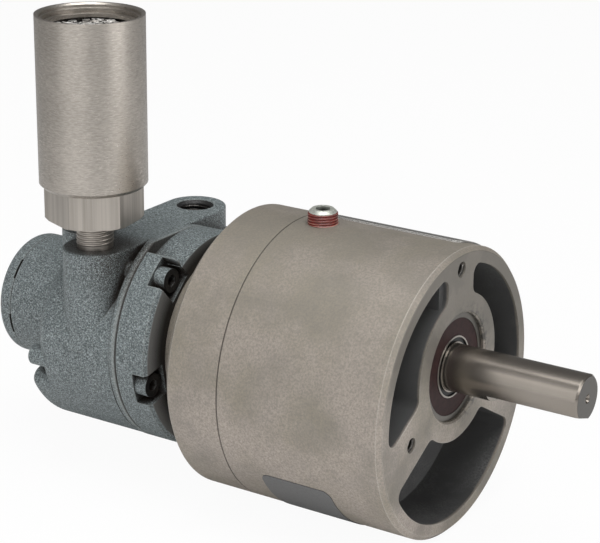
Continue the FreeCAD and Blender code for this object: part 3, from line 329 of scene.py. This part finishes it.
class Graph:
    """A material's node tree, with short calls for the nodes used here."""

    def __init__(self, name):
        self.material = bpy.data.materials.new(name)
        self.material.use_nodes = True
        self.tree = self.material.node_tree
        self.shader = self.tree.nodes["Principled BSDF"]

    def node(self, kind, **values):
        """A new node with its properties set."""
        made = self.tree.nodes.new(kind)
        for key, value in values.items():
            setattr(made, key, value)
        return made

    def link(self, start, end):
        """Joins an output to an input."""
        self.tree.links.new(start, end)

    def put(self, socket, value):
        """Sets a socket from a number, a colour or another node's socket."""
        if isinstance(value, bpy.types.NodeSocket):
            self.link(value, socket)
        elif isinstance(value, tuple) and len(value) == 3 and socket.type == "RGBA":
            socket.default_value = (*value, 1)
        else:
            socket.default_value = value

    def place(self):
        """The point on the surface, in the part's own frame."""
        return self.node("ShaderNodeTexCoord").outputs["Object"]

    def axis(self, letter):
        """One coordinate of the point on the surface."""
        parts = self.node("ShaderNodeSeparateXYZ")
        self.link(self.place(), parts.inputs[0])
        return parts.outputs[letter]

    def noise(self, scale, detail=3.0, rough=0.5, stretch=(1, 1, 1)):
        """Cloudy noise over the surface, maybe stretched into lines."""
        mapping = self.node("ShaderNodeMapping")
        self.link(self.place(), mapping.inputs["Vector"])
        mapping.inputs["Scale"].default_value = stretch
        made = self.node("ShaderNodeTexNoise")
        made.inputs["Scale"].default_value = scale
        made.inputs["Detail"].default_value = detail
        made.inputs["Roughness"].default_value = rough
        self.link(mapping.outputs["Vector"], made.inputs["Vector"])
        return made.outputs["Fac"]

    def math(self, operation, first, second=0.0):
        """One calculation with one or two values."""
        made = self.node("ShaderNodeMath", operation=operation)
        self.put(made.inputs[0], first)
        self.put(made.inputs[1], second)
        return made.outputs[0]

    def plus(self, first, second):
        """The sum of two values."""
        return self.math("ADD", first, second)

    def minus(self, first, second):
        """The difference of two values."""
        return self.math("SUBTRACT", first, second)

    def times(self, first, second):
        """The product of two values."""
        return self.math("MULTIPLY", first, second)

    def above(self, first, second):
        """1 where the first value is greater, else 0."""
        return self.math("GREATER_THAN", first, second)

    def below(self, first, second):
        """1 where the first value is smaller, else 0."""
        return self.math("LESS_THAN", first, second)

    def ramp(self, value, low, high, out_low=0.0, out_high=1.0):
        """Maps a value from one span to another, held at the ends."""
        made = self.node("ShaderNodeMapRange", clamp=True)
        self.put(made.inputs["Value"], value)
        made.inputs["From Min"].default_value = low
        made.inputs["From Max"].default_value = high
        made.inputs["To Min"].default_value = out_low
        made.inputs["To Max"].default_value = out_high
        return made.outputs["Result"]

    def mix(self, share, first, second):
        """Blends two colours; 6, 7 and 2 are the numbers of the node's colour sockets."""
        made = self.node("ShaderNodeMix", data_type="RGBA")
        self.put(made.inputs[0], share)
        self.put(made.inputs[6], first)
        self.put(made.inputs[7], second)
        return made.outputs[2]

    def long_side(self, first, second):
        """The long side over two sides at right angles."""
        return self.math("SQRT", self.plus(self.times(first, first), self.times(second, second)))

    def radius(self, z):
        """The distance from the lengthwise axis at height z."""
        return self.long_side(self.axis("Y"), self.minus(self.axis("Z"), z))

    def reach(self, x, y):
        """The distance from the upright axis at x and y."""
        return self.long_side(self.minus(self.axis("X"), x), self.minus(self.axis("Y"), y))

    def soft_edges(self, radius):
        """The surface's direction with its edges rounded."""
        made = self.node("ShaderNodeBevel", samples=4)
        made.inputs["Radius"].default_value = radius
        return made.outputs["Normal"]

    def openness(self, reach):
        """How open the surface is: near 0 in a narrow hollow, 1 in the open."""
        made = self.node("ShaderNodeAmbientOcclusion", samples=6)
        made.inputs["Distance"].default_value = reach
        return made.outputs["AO"]

    def hollow(self, reach, share, low=0.35, high=0.85):
        """Where the surface lies deep in a corner or hollow: the share of painted shade there, and in the
        pockets the share of painted light that offsets their shade.
        """
        return self.ramp(self.openness(reach), low, high, share, 0.0)

    def edges(self, radius, share):
        """Where the surface turns over an outer edge: it is painted lighter there, for rubbed wear and a
        painted highlight.
        """
        made = self.node("ShaderNodeVectorMath", operation="DOT_PRODUCT")
        self.link(self.soft_edges(radius), made.inputs[0])
        self.link(self.node("ShaderNodeNewGeometry").outputs["Normal"], made.inputs[1])
        turn = self.ramp(made.outputs["Value"], 0.985, 0.90, 0.0, share)
        return self.times(turn, self.ramp(self.openness(3 * radius), 0.55, 0.85))

    def bump(self, height, strength, distance, base=None):
        """The surface's direction, roughened by a height."""
        made = self.node("ShaderNodeBump")
        made.inputs["Strength"].default_value = strength
        made.inputs["Distance"].default_value = distance
        self.put(made.inputs["Height"], height)
        if base is not None:
            self.link(base, made.inputs["Normal"])
        return made.outputs["Normal"]

    def finish(self, colour, metallic, roughness, normal, **others):
        """Sets the shader and gives the material."""
        self.put(self.shader.inputs["Base Color"], colour)
        self.put(self.shader.inputs["Metallic"], metallic)
        self.put(self.shader.inputs["Roughness"], roughness)
        self.link(normal, self.shader.inputs["Normal"])
        for name, value in others.items():
            self.put(self.shader.inputs[name.replace("_", " ")], value)
        return self.material


def darker(tint, share):
    """A colour made darker by a share."""
    return tuple(c * share for c in tint)


def cast_colour(g, cloud, patch, grain):
    """Cast aluminium, cloudy and finely grained, with a dark seam, painted shade on top and in the
    hollows, and edges lightened for wear and a painted highlight.
    """
    # Painted shade: the case darker, and more olive, towards the top
    shade = g.ramp(g.axis("Z"), CASE_Z - 0.4 * CASE_R, CASE_Z + CASE_R)
    olive = g.plus(g.ramp(cloud, 0.42, 0.60, 0, 0.9), g.times(shade, 0.4))
    colour = g.mix(g.math("MINIMUM", olive, 1.0), ALUMINIUM, ALUMINIUM_OLIVE)
    colour = g.mix(g.times(shade, 0.3), colour, ALUMINIUM_DARK)
    colour = g.mix(g.ramp(patch, 0.45, 0.72, 0, 0.5), colour, ALUMINIUM_DARK)
    colour = g.mix(g.ramp(grain, 0.36, 0.64, 0, 0.7), colour, ALUMINIUM_DARK)
    off_seam = g.math("ABSOLUTE", g.minus(g.axis("X"), SEAM_X))
    seam = g.ramp(off_seam, SEAM_FADE, SEAM_DARK, 0.0, 0.6)
    # Edges lightened: rubbed wear and a painted highlight
    rubbed_and_highlit = g.times(g.edges(0.6 * MM, 0.8), g.above(off_seam, SEAM_CLEAR))
    colour = g.mix(rubbed_and_highlit, colour, ALUMINIUM_BRIGHT)
    # Painted shade in the hollows, joined with the dark seam
    return g.mix(g.math("MAXIMUM", seam, g.hollow(5 * MM, 0.9, 0.12, 0.55)), colour, DARK_HOLLOW)


def darkened_face(g, colour, patch):
    """The front face darker towards the top, towards the far side and in patches, and grimy round the
    bearing.
    """
    high = g.ramp(g.axis("Z"), CASE_Z, CASE_Z + 0.6 * CASE_R)
    far = g.ramp(g.axis("Y"), 0.3 * CASE_R, CASE_R, 0.10, 0.60)
    darkening = g.plus(g.plus(g.times(high, 0.7), far), g.ramp(patch, 0.42, 0.60, 0, 0.45))
    front = g.above(g.axis("X"), -FACE_SKIN)
    colour = g.mix(g.times(front, g.math("MINIMUM", darkening, 1.0)), colour, FACE_DARKER)
    dark_share = g.ramp(g.radius(0.0), HUB_CLEAN_R, HUB_DIRT_R)
    dark_share = g.times(dark_share, g.ramp(g.noise(HUB_SPECK, 3, 0.7), 0.46, 0.60, 0.0, 0.75))
    dark_share = g.times(dark_share, g.ramp(g.axis("Y"), HUB_DIRT_NEAR, HUB_DIRT_FAR, 0.25, 1.0))
    return g.mix(dark_share, colour, POCKET_PAINT)


def pocket_paint(g, patch, grain):
    """Where the face's pockets are painted, and their paint's colour: lighter where scuffed, and painted
    lighter deep in the pockets to offset their shade.
    """
    inside = g.below(g.radius(CASE_Z), CASE_R - RIM_WIDTH)
    outside_hub = g.above(g.radius(0.0), HUB_R)
    depth = g.plus(g.axis("X"), g.ramp(patch, 0.3, 0.7, 0, POCKET_WAVER))
    painted = g.times(g.times(inside, outside_hub), g.ramp(depth, POCKET_EDGE, POCKET_DEEP))
    scuffs = g.times(g.ramp(patch, 0.42, 0.66), g.ramp(grain, 0.40, 0.60, 0.1, 1.0))
    # Real scuffs, and painted light deep in the pockets against their shade
    scuffs_and_painted_light = g.math("MAXIMUM", g.times(scuffs, 0.8), g.hollow(25 * MM, 1.0, 0.0, 0.55))
    return painted, g.mix(scuffs_and_painted_light, POCKET_PAINT, POCKET_WORN_AND_LIT)


def cast_aluminium(name, pockets):
    """Tumbled cast aluminium, maybe with a front face darkened towards the top and far side, and dark
    painted pockets.
    """
    g = Graph(name)
    cloud = g.noise(CAST_CLOUD, 4, 0.6)
    patch = g.noise(CAST_PATCH, 4, 0.6)
    grain = g.noise(CAST_GRAIN, 2, 0.8)
    colour = cast_colour(g, cloud, patch, grain)
    metallic = CAST_METAL
    roughness = g.ramp(cloud, 0.3, 0.7, 0.48, 0.60)
    if pockets:
        painted, paint = pocket_paint(g, patch, grain)
        colour = g.mix(painted, darkened_face(g, colour, patch), paint)
        metallic = g.times(g.minus(1.0, painted), CAST_METAL)
        roughness = g.plus(roughness, g.times(painted, 0.1))
    height = g.plus(grain, g.times(cloud, 2.0))
    normal = g.bump(height, 0.35, 0.10 * MM, g.soft_edges(0.35 * MM))
    return g.finish(colour, metallic, roughness, normal)


def speckled_paint(g, lumps, fine):
    """Grey-green paint with light specks, dark pits, and edges lightened for rubbed wear and a painted
    highlight.
    """
    colour = g.mix(g.ramp(lumps, 0.50, 0.72), MOTOR_PAINT, MOTOR_SPECK)
    colour = g.mix(g.ramp(lumps, 0.48, 0.34), colour, MOTOR_PIT)
    colour = g.mix(g.ramp(fine, 0.55, 0.70, 0, 0.7), colour, MOTOR_SPECK)
    colour = g.mix(g.ramp(fine, 0.45, 0.32, 0, 0.7), colour, MOTOR_PIT)
    colour = g.mix(g.ramp(g.noise(PAINT_BROAD, 3, 0.5), 0.45, 0.7, 0, 0.3), colour, MOTOR_PAINT)
    return g.mix(g.edges(0.7 * MM, 0.7), colour, MOTOR_EDGE)


def body_marks(g, colour, fine):
    """The body's rim with a painted highlight, its dark joint, the oil-stained patch by the near port and
    painted shade in the open port.
    """
    behind = g.minus(FLANGE_LOW.x, g.axis("X"))
    # Painted highlight along the body's rim by the flange
    colour = g.mix(g.ramp(behind, BODY_RIM_FADE, BODY_RIM_LIGHT, 0.0, 0.45), colour, MOTOR_EDGE)
    colour = g.mix(g.ramp(behind, JOINT_FADE, JOINT_DARK, 0.0, 0.8), colour, MOTOR_DIRT_AND_SHADE)
    high = g.ramp(g.axis("Z"), STAIN_FOOT, STAIN_TOP)
    near = g.times(high, g.ramp(g.reach(STAIN_X, STAIN_Y), STAIN_R, STAIN_DARK_R))
    darkening = g.times(near, g.ramp(fine, 0.59, 0.47))
    colour = g.mix(g.times(darkening, 0.95), colour, MOTOR_DIRT_AND_SHADE)
    inside = g.below(g.reach(MUFFLER_X, -MUFFLER_Y), PORT_MOUTH_R)
    deep = g.below(g.axis("Z"), PORT_TOP - PORT_LIP)
    return g.mix(g.times(inside, deep), colour, DARK_HOLLOW)


def hammered_paint(name, front_from=None, body=False):
    """Hammered paint on rough castings; past an X place a front colour (the flange's unpainted face, the
    screws' painted shade), turning to painted shade near the case's axis; or with the body's marks.
    """
    g = Graph(name)
    lumps = g.noise(PAINT_LUMPS, 2, 0.6)
    fine = g.noise(PAINT_FINE, 2, 0.6)
    colour = speckled_paint(g, lumps, fine)
    roughness = g.ramp(lumps, 0.3, 0.7, 0.55, 0.35)
    height = g.plus(lumps, g.times(fine, 0.4))
    gloss = GLOSS
    if front_from:
        place, front_colour = front_from
        front = g.above(g.axis("X"), place)
        # Painted shade on the front, darkening it towards the case's axis
        front_colour = g.mix(g.ramp(g.radius(CASE_Z), FLANGE_DARK_R, FLANGE_LIGHT_R), DARK_HOLLOW, front_colour)
        colour = g.mix(front, colour, front_colour)
        gloss = g.minus(GLOSS, g.times(front, BARE_GLOSS_LOSS))
        height = g.times(height, g.minus(1.0, front))
    # Painted shade in the hollows, broken up by fine speckles
    dark_share = g.minus(g.hollow(13 * MM, 1.5, 0.25, 0.88), g.ramp(fine, 0.38, 0.62, 0.0, 0.6))
    colour = g.mix(g.math("MAXIMUM", dark_share, 0.0), colour, MOTOR_DIRT_AND_SHADE)
    if body:
        colour = body_marks(g, colour, fine)
    normal = g.bump(height, 0.7, 0.30 * MM, g.soft_edges(0.6 * MM))
    return g.finish(colour, 0.0, roughness, normal, Specular_IOR_Level=gloss)


def turned_steel(name, light, dark, roughness, axis, lines, length=0.03, contrast=0.5, edge=0.2,
                 end_at=None, shaded_r=None, shade_reach=None):
    """Fine turned lines; dark past an X place, painted shade within a radius and deep in hollows; edge and
    shade_reach in mm.
    """
    g = Graph(name)
    stretch = {"X": (1, length, length), "Z": (length, length, 1)}[axis]
    line = g.noise(lines, 3, 0.6, stretch=stretch)
    cloud = g.noise(STEEL_CLOUD, 3, 0.5)
    share = g.plus(g.ramp(line, 0.35, 0.65, 0, contrast), g.ramp(cloud, 0.4, 0.7, 0, 0.3))
    colour = g.mix(share, light, dark)
    if end_at is not None:
        colour = g.mix(g.above(g.axis("X"), end_at), colour, END_STEEL)
    if shaded_r is not None:
        # Painted shade within the radius: the shadowed relief by the shaft
        colour = g.mix(g.below(g.radius(0.0), shaded_r), colour, DARK_HOLLOW)
    if shade_reach:
        # Painted shade deep in hollows
        colour = g.mix(g.hollow(shade_reach * MM, 0.97, 0.25, 0.50), colour, DARK_HOLLOW)
    rough = g.ramp(line, 0.3, 0.7, roughness - 0.08 * contrast, roughness + 0.16 * contrast)
    normal = g.bump(line, 0.5 * contrast, 0.04 * MM, g.soft_edges(edge * MM))
    return g.finish(colour, STEEL_METAL, rough, normal)


def brushed_hexagon(name):
    """Bar steel with lines drawn along the hexagon's length."""
    g = Graph(name)
    line = g.noise(HEXAGON_LINES, 4, 0.6, stretch=(1, 1, 0.02))
    colour = g.mix(g.ramp(line, 0.35, 0.68), SATIN_STEEL, SATIN_STEEL_DARK)
    normal = g.bump(line, 0.35, 0.08 * MM, g.soft_edges(0.3 * MM))
    return g.finish(colour, STEEL_METAL, g.ramp(line, 0.3, 0.7, 0.28, 0.42), normal)


def plated(name, light, dark, metallic=STEEL_METAL, roughness=0.32):
    """Plated steel, slightly uneven, with painted shade in its hollows."""
    g = Graph(name)
    cloud = g.noise(PLATED_CLOUD, 4, 0.6)
    colour = g.mix(g.ramp(cloud, 0.35, 0.7), light, dark)
    colour = g.mix(g.hollow(3 * MM, 0.8, 0.15, 0.55), colour, DARK_HOLLOW)
    rough = g.ramp(cloud, 0.3, 0.7, roughness - 0.07, roughness + 0.08)
    normal = g.bump(cloud, 0.2, 0.05 * MM, g.soft_edges(0.2 * MM))
    return g.finish(colour, metallic, rough, normal)


def plug_zinc(name):
    """Zinc plating on the plug, with edges lightened for wear and a painted highlight, and painted shade
    deepening into the socket.
    """
    g = Graph(name)
    cloud = g.noise(PLUG_CLOUD, 3, 0.6)
    colour = g.mix(g.ramp(cloud, 0.4, 0.65), ZINC, ZINC_DARK)
    colour = g.mix(g.edges(0.3 * MM, 0.6), colour, ZINC_BRIGHT)
    # Painted shade deepening into the socket
    inside = g.below(g.reach(PLUG_X, 0.0), SOCKET_R)
    deep = g.ramp(g.axis("Z"), PLUG_HIGH.z - SOCKET_LIP, PLUG_HIGH.z - SOCKET_DARK, 0.0, 0.97)
    colour = g.mix(g.times(inside, deep), colour, DARK_HOLLOW)
    normal = g.bump(cloud, 0.2, 0.05 * MM, g.soft_edges(0.2 * MM))
    return g.finish(colour, PLATE_METAL, 0.40, normal)


def rubber(name, tint, roughness, gloss=GLOSS):
    """Moulded rubber or set sealant."""
    g = Graph(name)
    cloud = g.noise(RUBBER_CLOUD, 3, 0.6)
    colour = g.mix(g.ramp(cloud, 0.35, 0.7), tint, darker(tint, 0.6))
    normal = g.bump(cloud, 0.3, 0.1 * MM, g.soft_edges(0.2 * MM))
    return g.finish(colour, 0.0, roughness, normal, Specular_IOR_Level=gloss)


def thread_sealant(name):
    """Red sealant on a thread, rubbed pale on the crests."""
    g = Graph(name)
    cloud = g.noise(RUBBER_CLOUD, 3, 0.6)
    red = g.mix(g.ramp(cloud, 0.35, 0.7), SEALANT_RED, darker(SEALANT_RED, 0.45))
    out = g.reach(PLUG_X, 0.0)
    crest = g.ramp(out, PLUG_R + SEALANT_CREST_LOW, PLUG_R + SEALANT_CREST_HIGH, 0.0, 0.6)
    return g.finish(g.mix(crest, red, SEALANT_CREST), 0.0, 0.28, g.bump(cloud, 0.3, 0.1 * MM))


def matte_sheet(name, tint, metallic, roughness, rim=None):
    """A label or plate with a fine even grain, and maybe a rim lightened for wear and a painted highlight.
    """
    g = Graph(name)
    grain = g.noise(SHEET_GRAIN, 2, 0.6)
    colour = g.mix(g.ramp(grain, 0.35, 0.7), tint, darker(tint, 0.8))
    if rim:
        colour = g.mix(g.edges(0.5 * MM, 1.0), colour, rim)
    normal = g.bump(grain, 0.15, 0.04 * MM, g.soft_edges(0.15 * MM))
    return g.finish(colour, metallic, roughness, normal)


def materials():
    """The material of every CAD node, by its name."""
    race = turned_steel("bearing_steel", STEEL, STEEL_DARK, 0.30, "X", RACE_LINES)
    machined = turned_steel("gear_steel", STEEL, STEEL_DARK, 0.35, "X", GEAR_LINES)
    satin = turned_steel("satin_steel", SATIN_STEEL, SATIN_STEEL_DARK, 0.31, "Z", SATIN_LINES,
                         length=0.2, contrast=0.8, edge=0.3, shade_reach=18)
    zinc = plated("zinc", ZINC, ZINC_DARK, PLATE_METAL, 0.40)
    seal = rubber("seal_rubber", SEAL_BROWN, 0.60, SEAL_GLOSS)
    chosen = {
        "gear_housing": cast_aluminium("cast_aluminium_pockets", True),
        "rear_cover": cast_aluminium("cast_aluminium", False),
        "drive_end_plate": hammered_paint("hammered_paint_flange",
                                          (FLANGE_HIGH.x - FLANGE_SKIN, FLANGE_FACE)),
        "motor_body": hammered_paint("hammered_paint_body", body=True),
        "end_cap": hammered_paint("hammered_paint"),
        # The screws' fronts face the gap to the case: painted shade
        "flange_screws": hammered_paint("painted_screw", (SCREW_FRONT - SCREW_SKIN, DARK_HOLLOW)),
        "output_shaft": turned_steel("ground_steel", SHAFT_STEEL, SHAFT_STEEL_DARK, 0.26, "X", SHAFT_LINES,
                                     contrast=0.08, end_at=SHAFT_FRONT - SHAFT_SKIN, shade_reach=2.5),
        "output_front_inner_ring": turned_steel("front_race", SATIN_STEEL_DARK, STEEL_DARK, 0.28, "X",
                                                RACE_LINES, shaded_r=RELIEF_R),
        "output_front_bearing": turned_steel("outer_race", RACE_STEEL, RACE_STEEL_DARK, 0.4, "X",
                                             RACE_LINES),
        "front_bearing_seal": seal, "shaft_seal": seal, "cover_seal": seal,
        "muffler_shell": satin, "muffler_ring": satin,
        "muffler_base": brushed_hexagon("hexagon_steel"),
        "muffler_packing": plated("packing", PACKING_DARK, DARK_HOLLOW, 0.3, 0.6),
        "oil_plug": plug_zinc("plug_zinc"),
        "plate_pins": zinc, "cover_screws": zinc, "motor_screws": zinc,
        "plug_sealant": rubber("sealant", SEALANT_RED, 0.3),
        "side_plate": matte_sheet("side_plate", PLATE_GREY, 0.5, 0.5, PLATE_EDGE),
        "lower_label": matte_sheet("label", LABEL_GREY, 0.0, 0.5),
        "vanes": matte_sheet("vane", VANE_BROWN, 0.0, 0.6),
    }
    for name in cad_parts:
        bearing_piece = name.endswith(("_bearing", "_inner_ring", "_balls"))
        chosen.setdefault(name, race if bearing_piece else machined)
    return chosen


def dress(chosen):
    """Gives every CAD node its material."""
    for name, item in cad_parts.items():
        if not item.material_slots:
            item.data.materials.append(None)
        for slot in item.material_slots:
            slot.link = "OBJECT"
            slot.material = chosen[name]


def stage():
    """A pale floor that the camera sees as white, but for the object's soft shadow."""
    bpy.ops.mesh.primitive_plane_add(size=FLOOR_SIZE, location=(0, 0, cad_box[0][2] - FLOOR_GAP))
    floor = bpy.context.object
    floor.name = "floor"
    g = Graph("floor")
    g.put(g.shader.inputs["Base Color"], FLOOR_PAINT)
    g.put(g.shader.inputs["Roughness"], FLOOR_ROUGHNESS)
    seen = g.node("ShaderNodeLightPath").outputs["Is Camera Ray"]
    blend = g.node("ShaderNodeMixShader")
    g.link(g.times(seen, FLOOR_WHITE), blend.inputs[0])
    g.link(g.shader.outputs[0], blend.inputs[1])
    g.link(g.node("ShaderNodeEmission").outputs[0], blend.inputs[2])
    g.link(blend.outputs[0], g.tree.nodes["Material Output"].inputs["Surface"])
    floor.data.materials.append(g.material)


def sky():
    """A world that is white to the camera and gives the object a little even light."""
    world = bpy.data.worlds.new("world")
    world.use_nodes = True
    bpy.context.scene.world = world
    tree = world.node_tree
    light = tree.nodes["Background"]
    light.inputs["Color"].default_value = (1, 1, 1, 1)
    path = tree.nodes.new("ShaderNodeLightPath")
    level = tree.nodes.new("ShaderNodeMapRange")
    level.inputs["To Min"].default_value = WORLD_LEVEL
    level.inputs["To Max"].default_value = 1.0
    tree.links.new(path.outputs["Is Camera Ray"], level.inputs["Value"])
    tree.links.new(level.outputs["Result"], light.inputs["Strength"])


class Shape:
    """Points and faces collected for one mesh piece."""

    def __init__(self):
        self.points = []
        self.faces = []

    def rings(self, rings, closed_ends=True):
        """Joins rings of points, each with the same count, into a skin."""
        start = len(self.points)
        count = len(rings[0])
        for ring in rings:
            self.points += ring
        for row in range(len(rings) - 1):
            low = start + row * count
            for side in range(count):
                after = (side + 1) % count
                self.faces.append((low + side, low + after, low + count + after, low + count + side))
        if closed_ends:
            self.faces.append(tuple(range(start, start + count))[::-1])
            last = start + (len(rings) - 1) * count
            self.faces.append(tuple(range(last, last + count)))

    def tube(self, path, radius, sides):
        """A thin tube along a list of points."""
        rings = []
        for index, point in enumerate(path):
            ahead = path[min(index + 1, len(path) - 1)] - path[max(index - 1, 0)]
            turn = ahead.to_track_quat("Z", "Y")
            ring = []
            for side in range(sides):
                angle = 2 * math.pi * side / sides
                ring.append(point + turn @ Vector((radius * math.cos(angle), radius * math.sin(angle), 0)))
            rings.append(ring)
        self.rings(rings)

    def piece(self, name, material, body):
        """The finished object, riding on a body."""
        mesh = bpy.data.meshes.new(name)
        mesh.from_pydata([tuple(p) for p in self.points], [], self.faces)
        work = bmesh.new()
        work.from_mesh(mesh)
        bmesh.ops.recalc_face_normals(work, faces=work.faces)
        work.to_mesh(mesh)
        work.free()
        for face in mesh.polygons:
            face.use_smooth = True
        mesh.materials.append(material)
        item = add_item(name, mesh)
        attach(item, body)
        return item


def thread(shape, radius, low, high, pitch, height, centre, along="Z", steps=40):
    """A helical ridge round an axis, faded out at its ends; a negative height points inwards."""
    turns = (high - low) / pitch - 1
    rings = []
    for step in range(int(turns * steps) + 1):
        angle = 2 * math.pi * step / steps
        travel = low + pitch * (0.5 + step / steps)
        left = turns * steps - step
        fade = min(1.0, step / (THREAD_FADE * steps), left / (THREAD_FADE * steps) + THREAD_STUB)
        ring = []
        for offset, rise in THREAD_PROFILE:
            reach = radius + height * rise * max(fade, THREAD_STUB)
            first = centre[0] + reach * math.cos(angle)
            second = centre[1] + reach * math.sin(angle)
            place = travel + offset * pitch
            ring.append(Vector((first, second, place) if along == "Z" else (place, first, second)))
        rings.append(ring)
    shape.rings(rings)


def nipple_thread(material):
    """The pipe thread between the muffler's hexagon and its port."""
    shape = Shape()
    thread(shape, NIPPLE_R, PORT_TOP + THREAD_START, PORT_TOP + NIPPLE_THREAD, PIPE_PITCH, NIPPLE_RIDGE,
           (MUFFLER_X, MUFFLER_Y))
    shape.piece("nipple_thread", material, "root")


def port_thread(material):
    """The thread inside the open inlet port."""
    shape = Shape()
    thread(shape, PORT_R, PORT_TOP - PORT_THREAD, PORT_TOP - PORT_MOUTH, PIPE_PITCH, -PORT_RIDGE,
           (MUFFLER_X, -MUFFLER_Y))
    shape.piece("port_thread", material, "root")


def face_threads(material):
    """The threads inside the three holes of the front face."""
    shape = Shape()
    for angle in FACE_HOLE_ANGLES:
        turn = math.radians(angle)
        centre = (FACE_HOLE_PCR * math.cos(turn), FACE_HOLE_PCR * math.sin(turn))
        thread(shape, FACE_HOLE_R, -FACE_HOLE_END, -FACE_HOLE_START, FACE_HOLE_PITCH, -FACE_HOLE_RIDGE,
               centre, along="X", steps=24)
    shape.piece("face_hole_threads", material, "root")


def sealant_reach(angle, level, height, lumps):
    """How far the sealant stands out: waves over the threads, lumps and a wider foot."""
    wave = math.cos(2 * math.pi * height / PLUG_PITCH - angle)
    reach = SEALANT_THICK + SEALANT_WAVE * wave
    reach += SEALANT_FOOT * max(0.0, SEALANT_FOOT_LEVEL - level) / SEALANT_FOOT_LEVEL
    for centre, place, size in lumps:
        aside = math.remainder(angle - centre, 2 * math.pi)
        gap = math.hypot(aside * LUMP_ROUND, (place - level) * LUMP_UP)
        reach += size * math.exp(-(gap / LUMP_SPREAD) ** 2)
    return reach


def sealant_band(material):
    """Sealant that fills and rounds the plug's threads and squeezes out at the case."""
    low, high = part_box("plug_sealant")
    foot = low.z - SEALANT_SINK
    random.seed(SEALANT_SEED)
    lumps = [(random.uniform(0, 2 * math.pi), random.uniform(0, 1), random.uniform(LUMP_LOW, LUMP_HIGH))
             for _ in range(LUMPS)]
    rings = []
    for row in range(SEALANT_ROWS + 1):
        level = row / SEALANT_ROWS
        height = foot + (high.z - foot) * level
        ring = []
        for step in range(SEALANT_STEPS):
            angle = 2 * math.pi * step / SEALANT_STEPS
            radius = PLUG_R + SEALANT_GAP
            if 0 < row < SEALANT_ROWS:
                radius += sealant_reach(angle, level, height - low.z, lumps)
            ring.append(Vector((PLUG_X + radius * math.cos(angle), radius * math.sin(angle), height)))
        rings.append(ring)
    shape = Shape()
    shape.rings(rings, closed_ends=False)
    item = shape.piece("sealant_band", material, "root")
    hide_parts("plug_sealant")


def strand_path():
    """A curled strand of wool that stays inside the muffler's bore."""
    distance = WOOL_R * math.sqrt(random.random())
    angle = random.uniform(0, 2 * math.pi)
    start = random.uniform(0, WOOL_START) * WOOL_HIGH
    point = Vector((distance * math.cos(angle), distance * math.sin(angle), start))
    heading = random.uniform(0, 2 * math.pi)
    curl = random.choice((-1, 1)) * random.uniform(*WOOL_CURL)
    slope = random.uniform(*WOOL_SLOPE)
    foot = Vector((MUFFLER_X, MUFFLER_Y, PACKING_TOP - WOOL_SINK))
    path = []
    for step in range(WOOL_STEPS):
        path.append(point + foot)
        heading += curl + random.uniform(-WOOL_SWAY, WOOL_SWAY)
        rise = slope * WOOL_LIFT * math.sin(math.pi * step / WOOL_STEPS + WOOL_PHASE)
        after = point + Vector((WOOL_STRIDE * math.cos(heading), WOOL_STRIDE * math.sin(heading), rise))
        if math.hypot(after.x, after.y) > WOOL_R:
            heading += WOOL_TURN_BACK
            after = Vector((point.x * WOOL_DRAW_IN, point.y * WOOL_DRAW_IN, point.z))
        after.z = min(max(after.z, 0.0), WOOL_HIGH)
        point = after
    return path


def steel_wool(material):
    """Curled steel strands on top of the muffler's packing."""
    random.seed(WOOL_SEED)
    shape = Shape()
    for _ in range(WOOL_STRANDS):
        path = strand_path()
        shape.tube(path, random.uniform(STRAND_THIN, STRAND_THICK), WOOL_SIDES)
    shape.piece("steel_wool", material, "root")


camera()
stage()
sky()
lights()
dress(materials())
nipple_thread(turned_steel("nipple_steel", SATIN_STEEL, SATIN_STEEL_DARK, 0.38, "Z", SATIN_LINES,
                           length=0.2, contrast=0.6))
# The port's thread is dark: painted shade inside the port
port_thread(plated("dark_thread", THREAD_DARK, DARK_HOLLOW))
face_threads(plated("hole_thread", STEEL, DARK_HOLLOW))
sealant_band(thread_sealant("sealant_thread"))
steel_wool(plated("wool_strand", WOOL, SATIN_STEEL, 0.5, 0.4))
bpy.context.scene.view_settings.view_transform = "Standard"
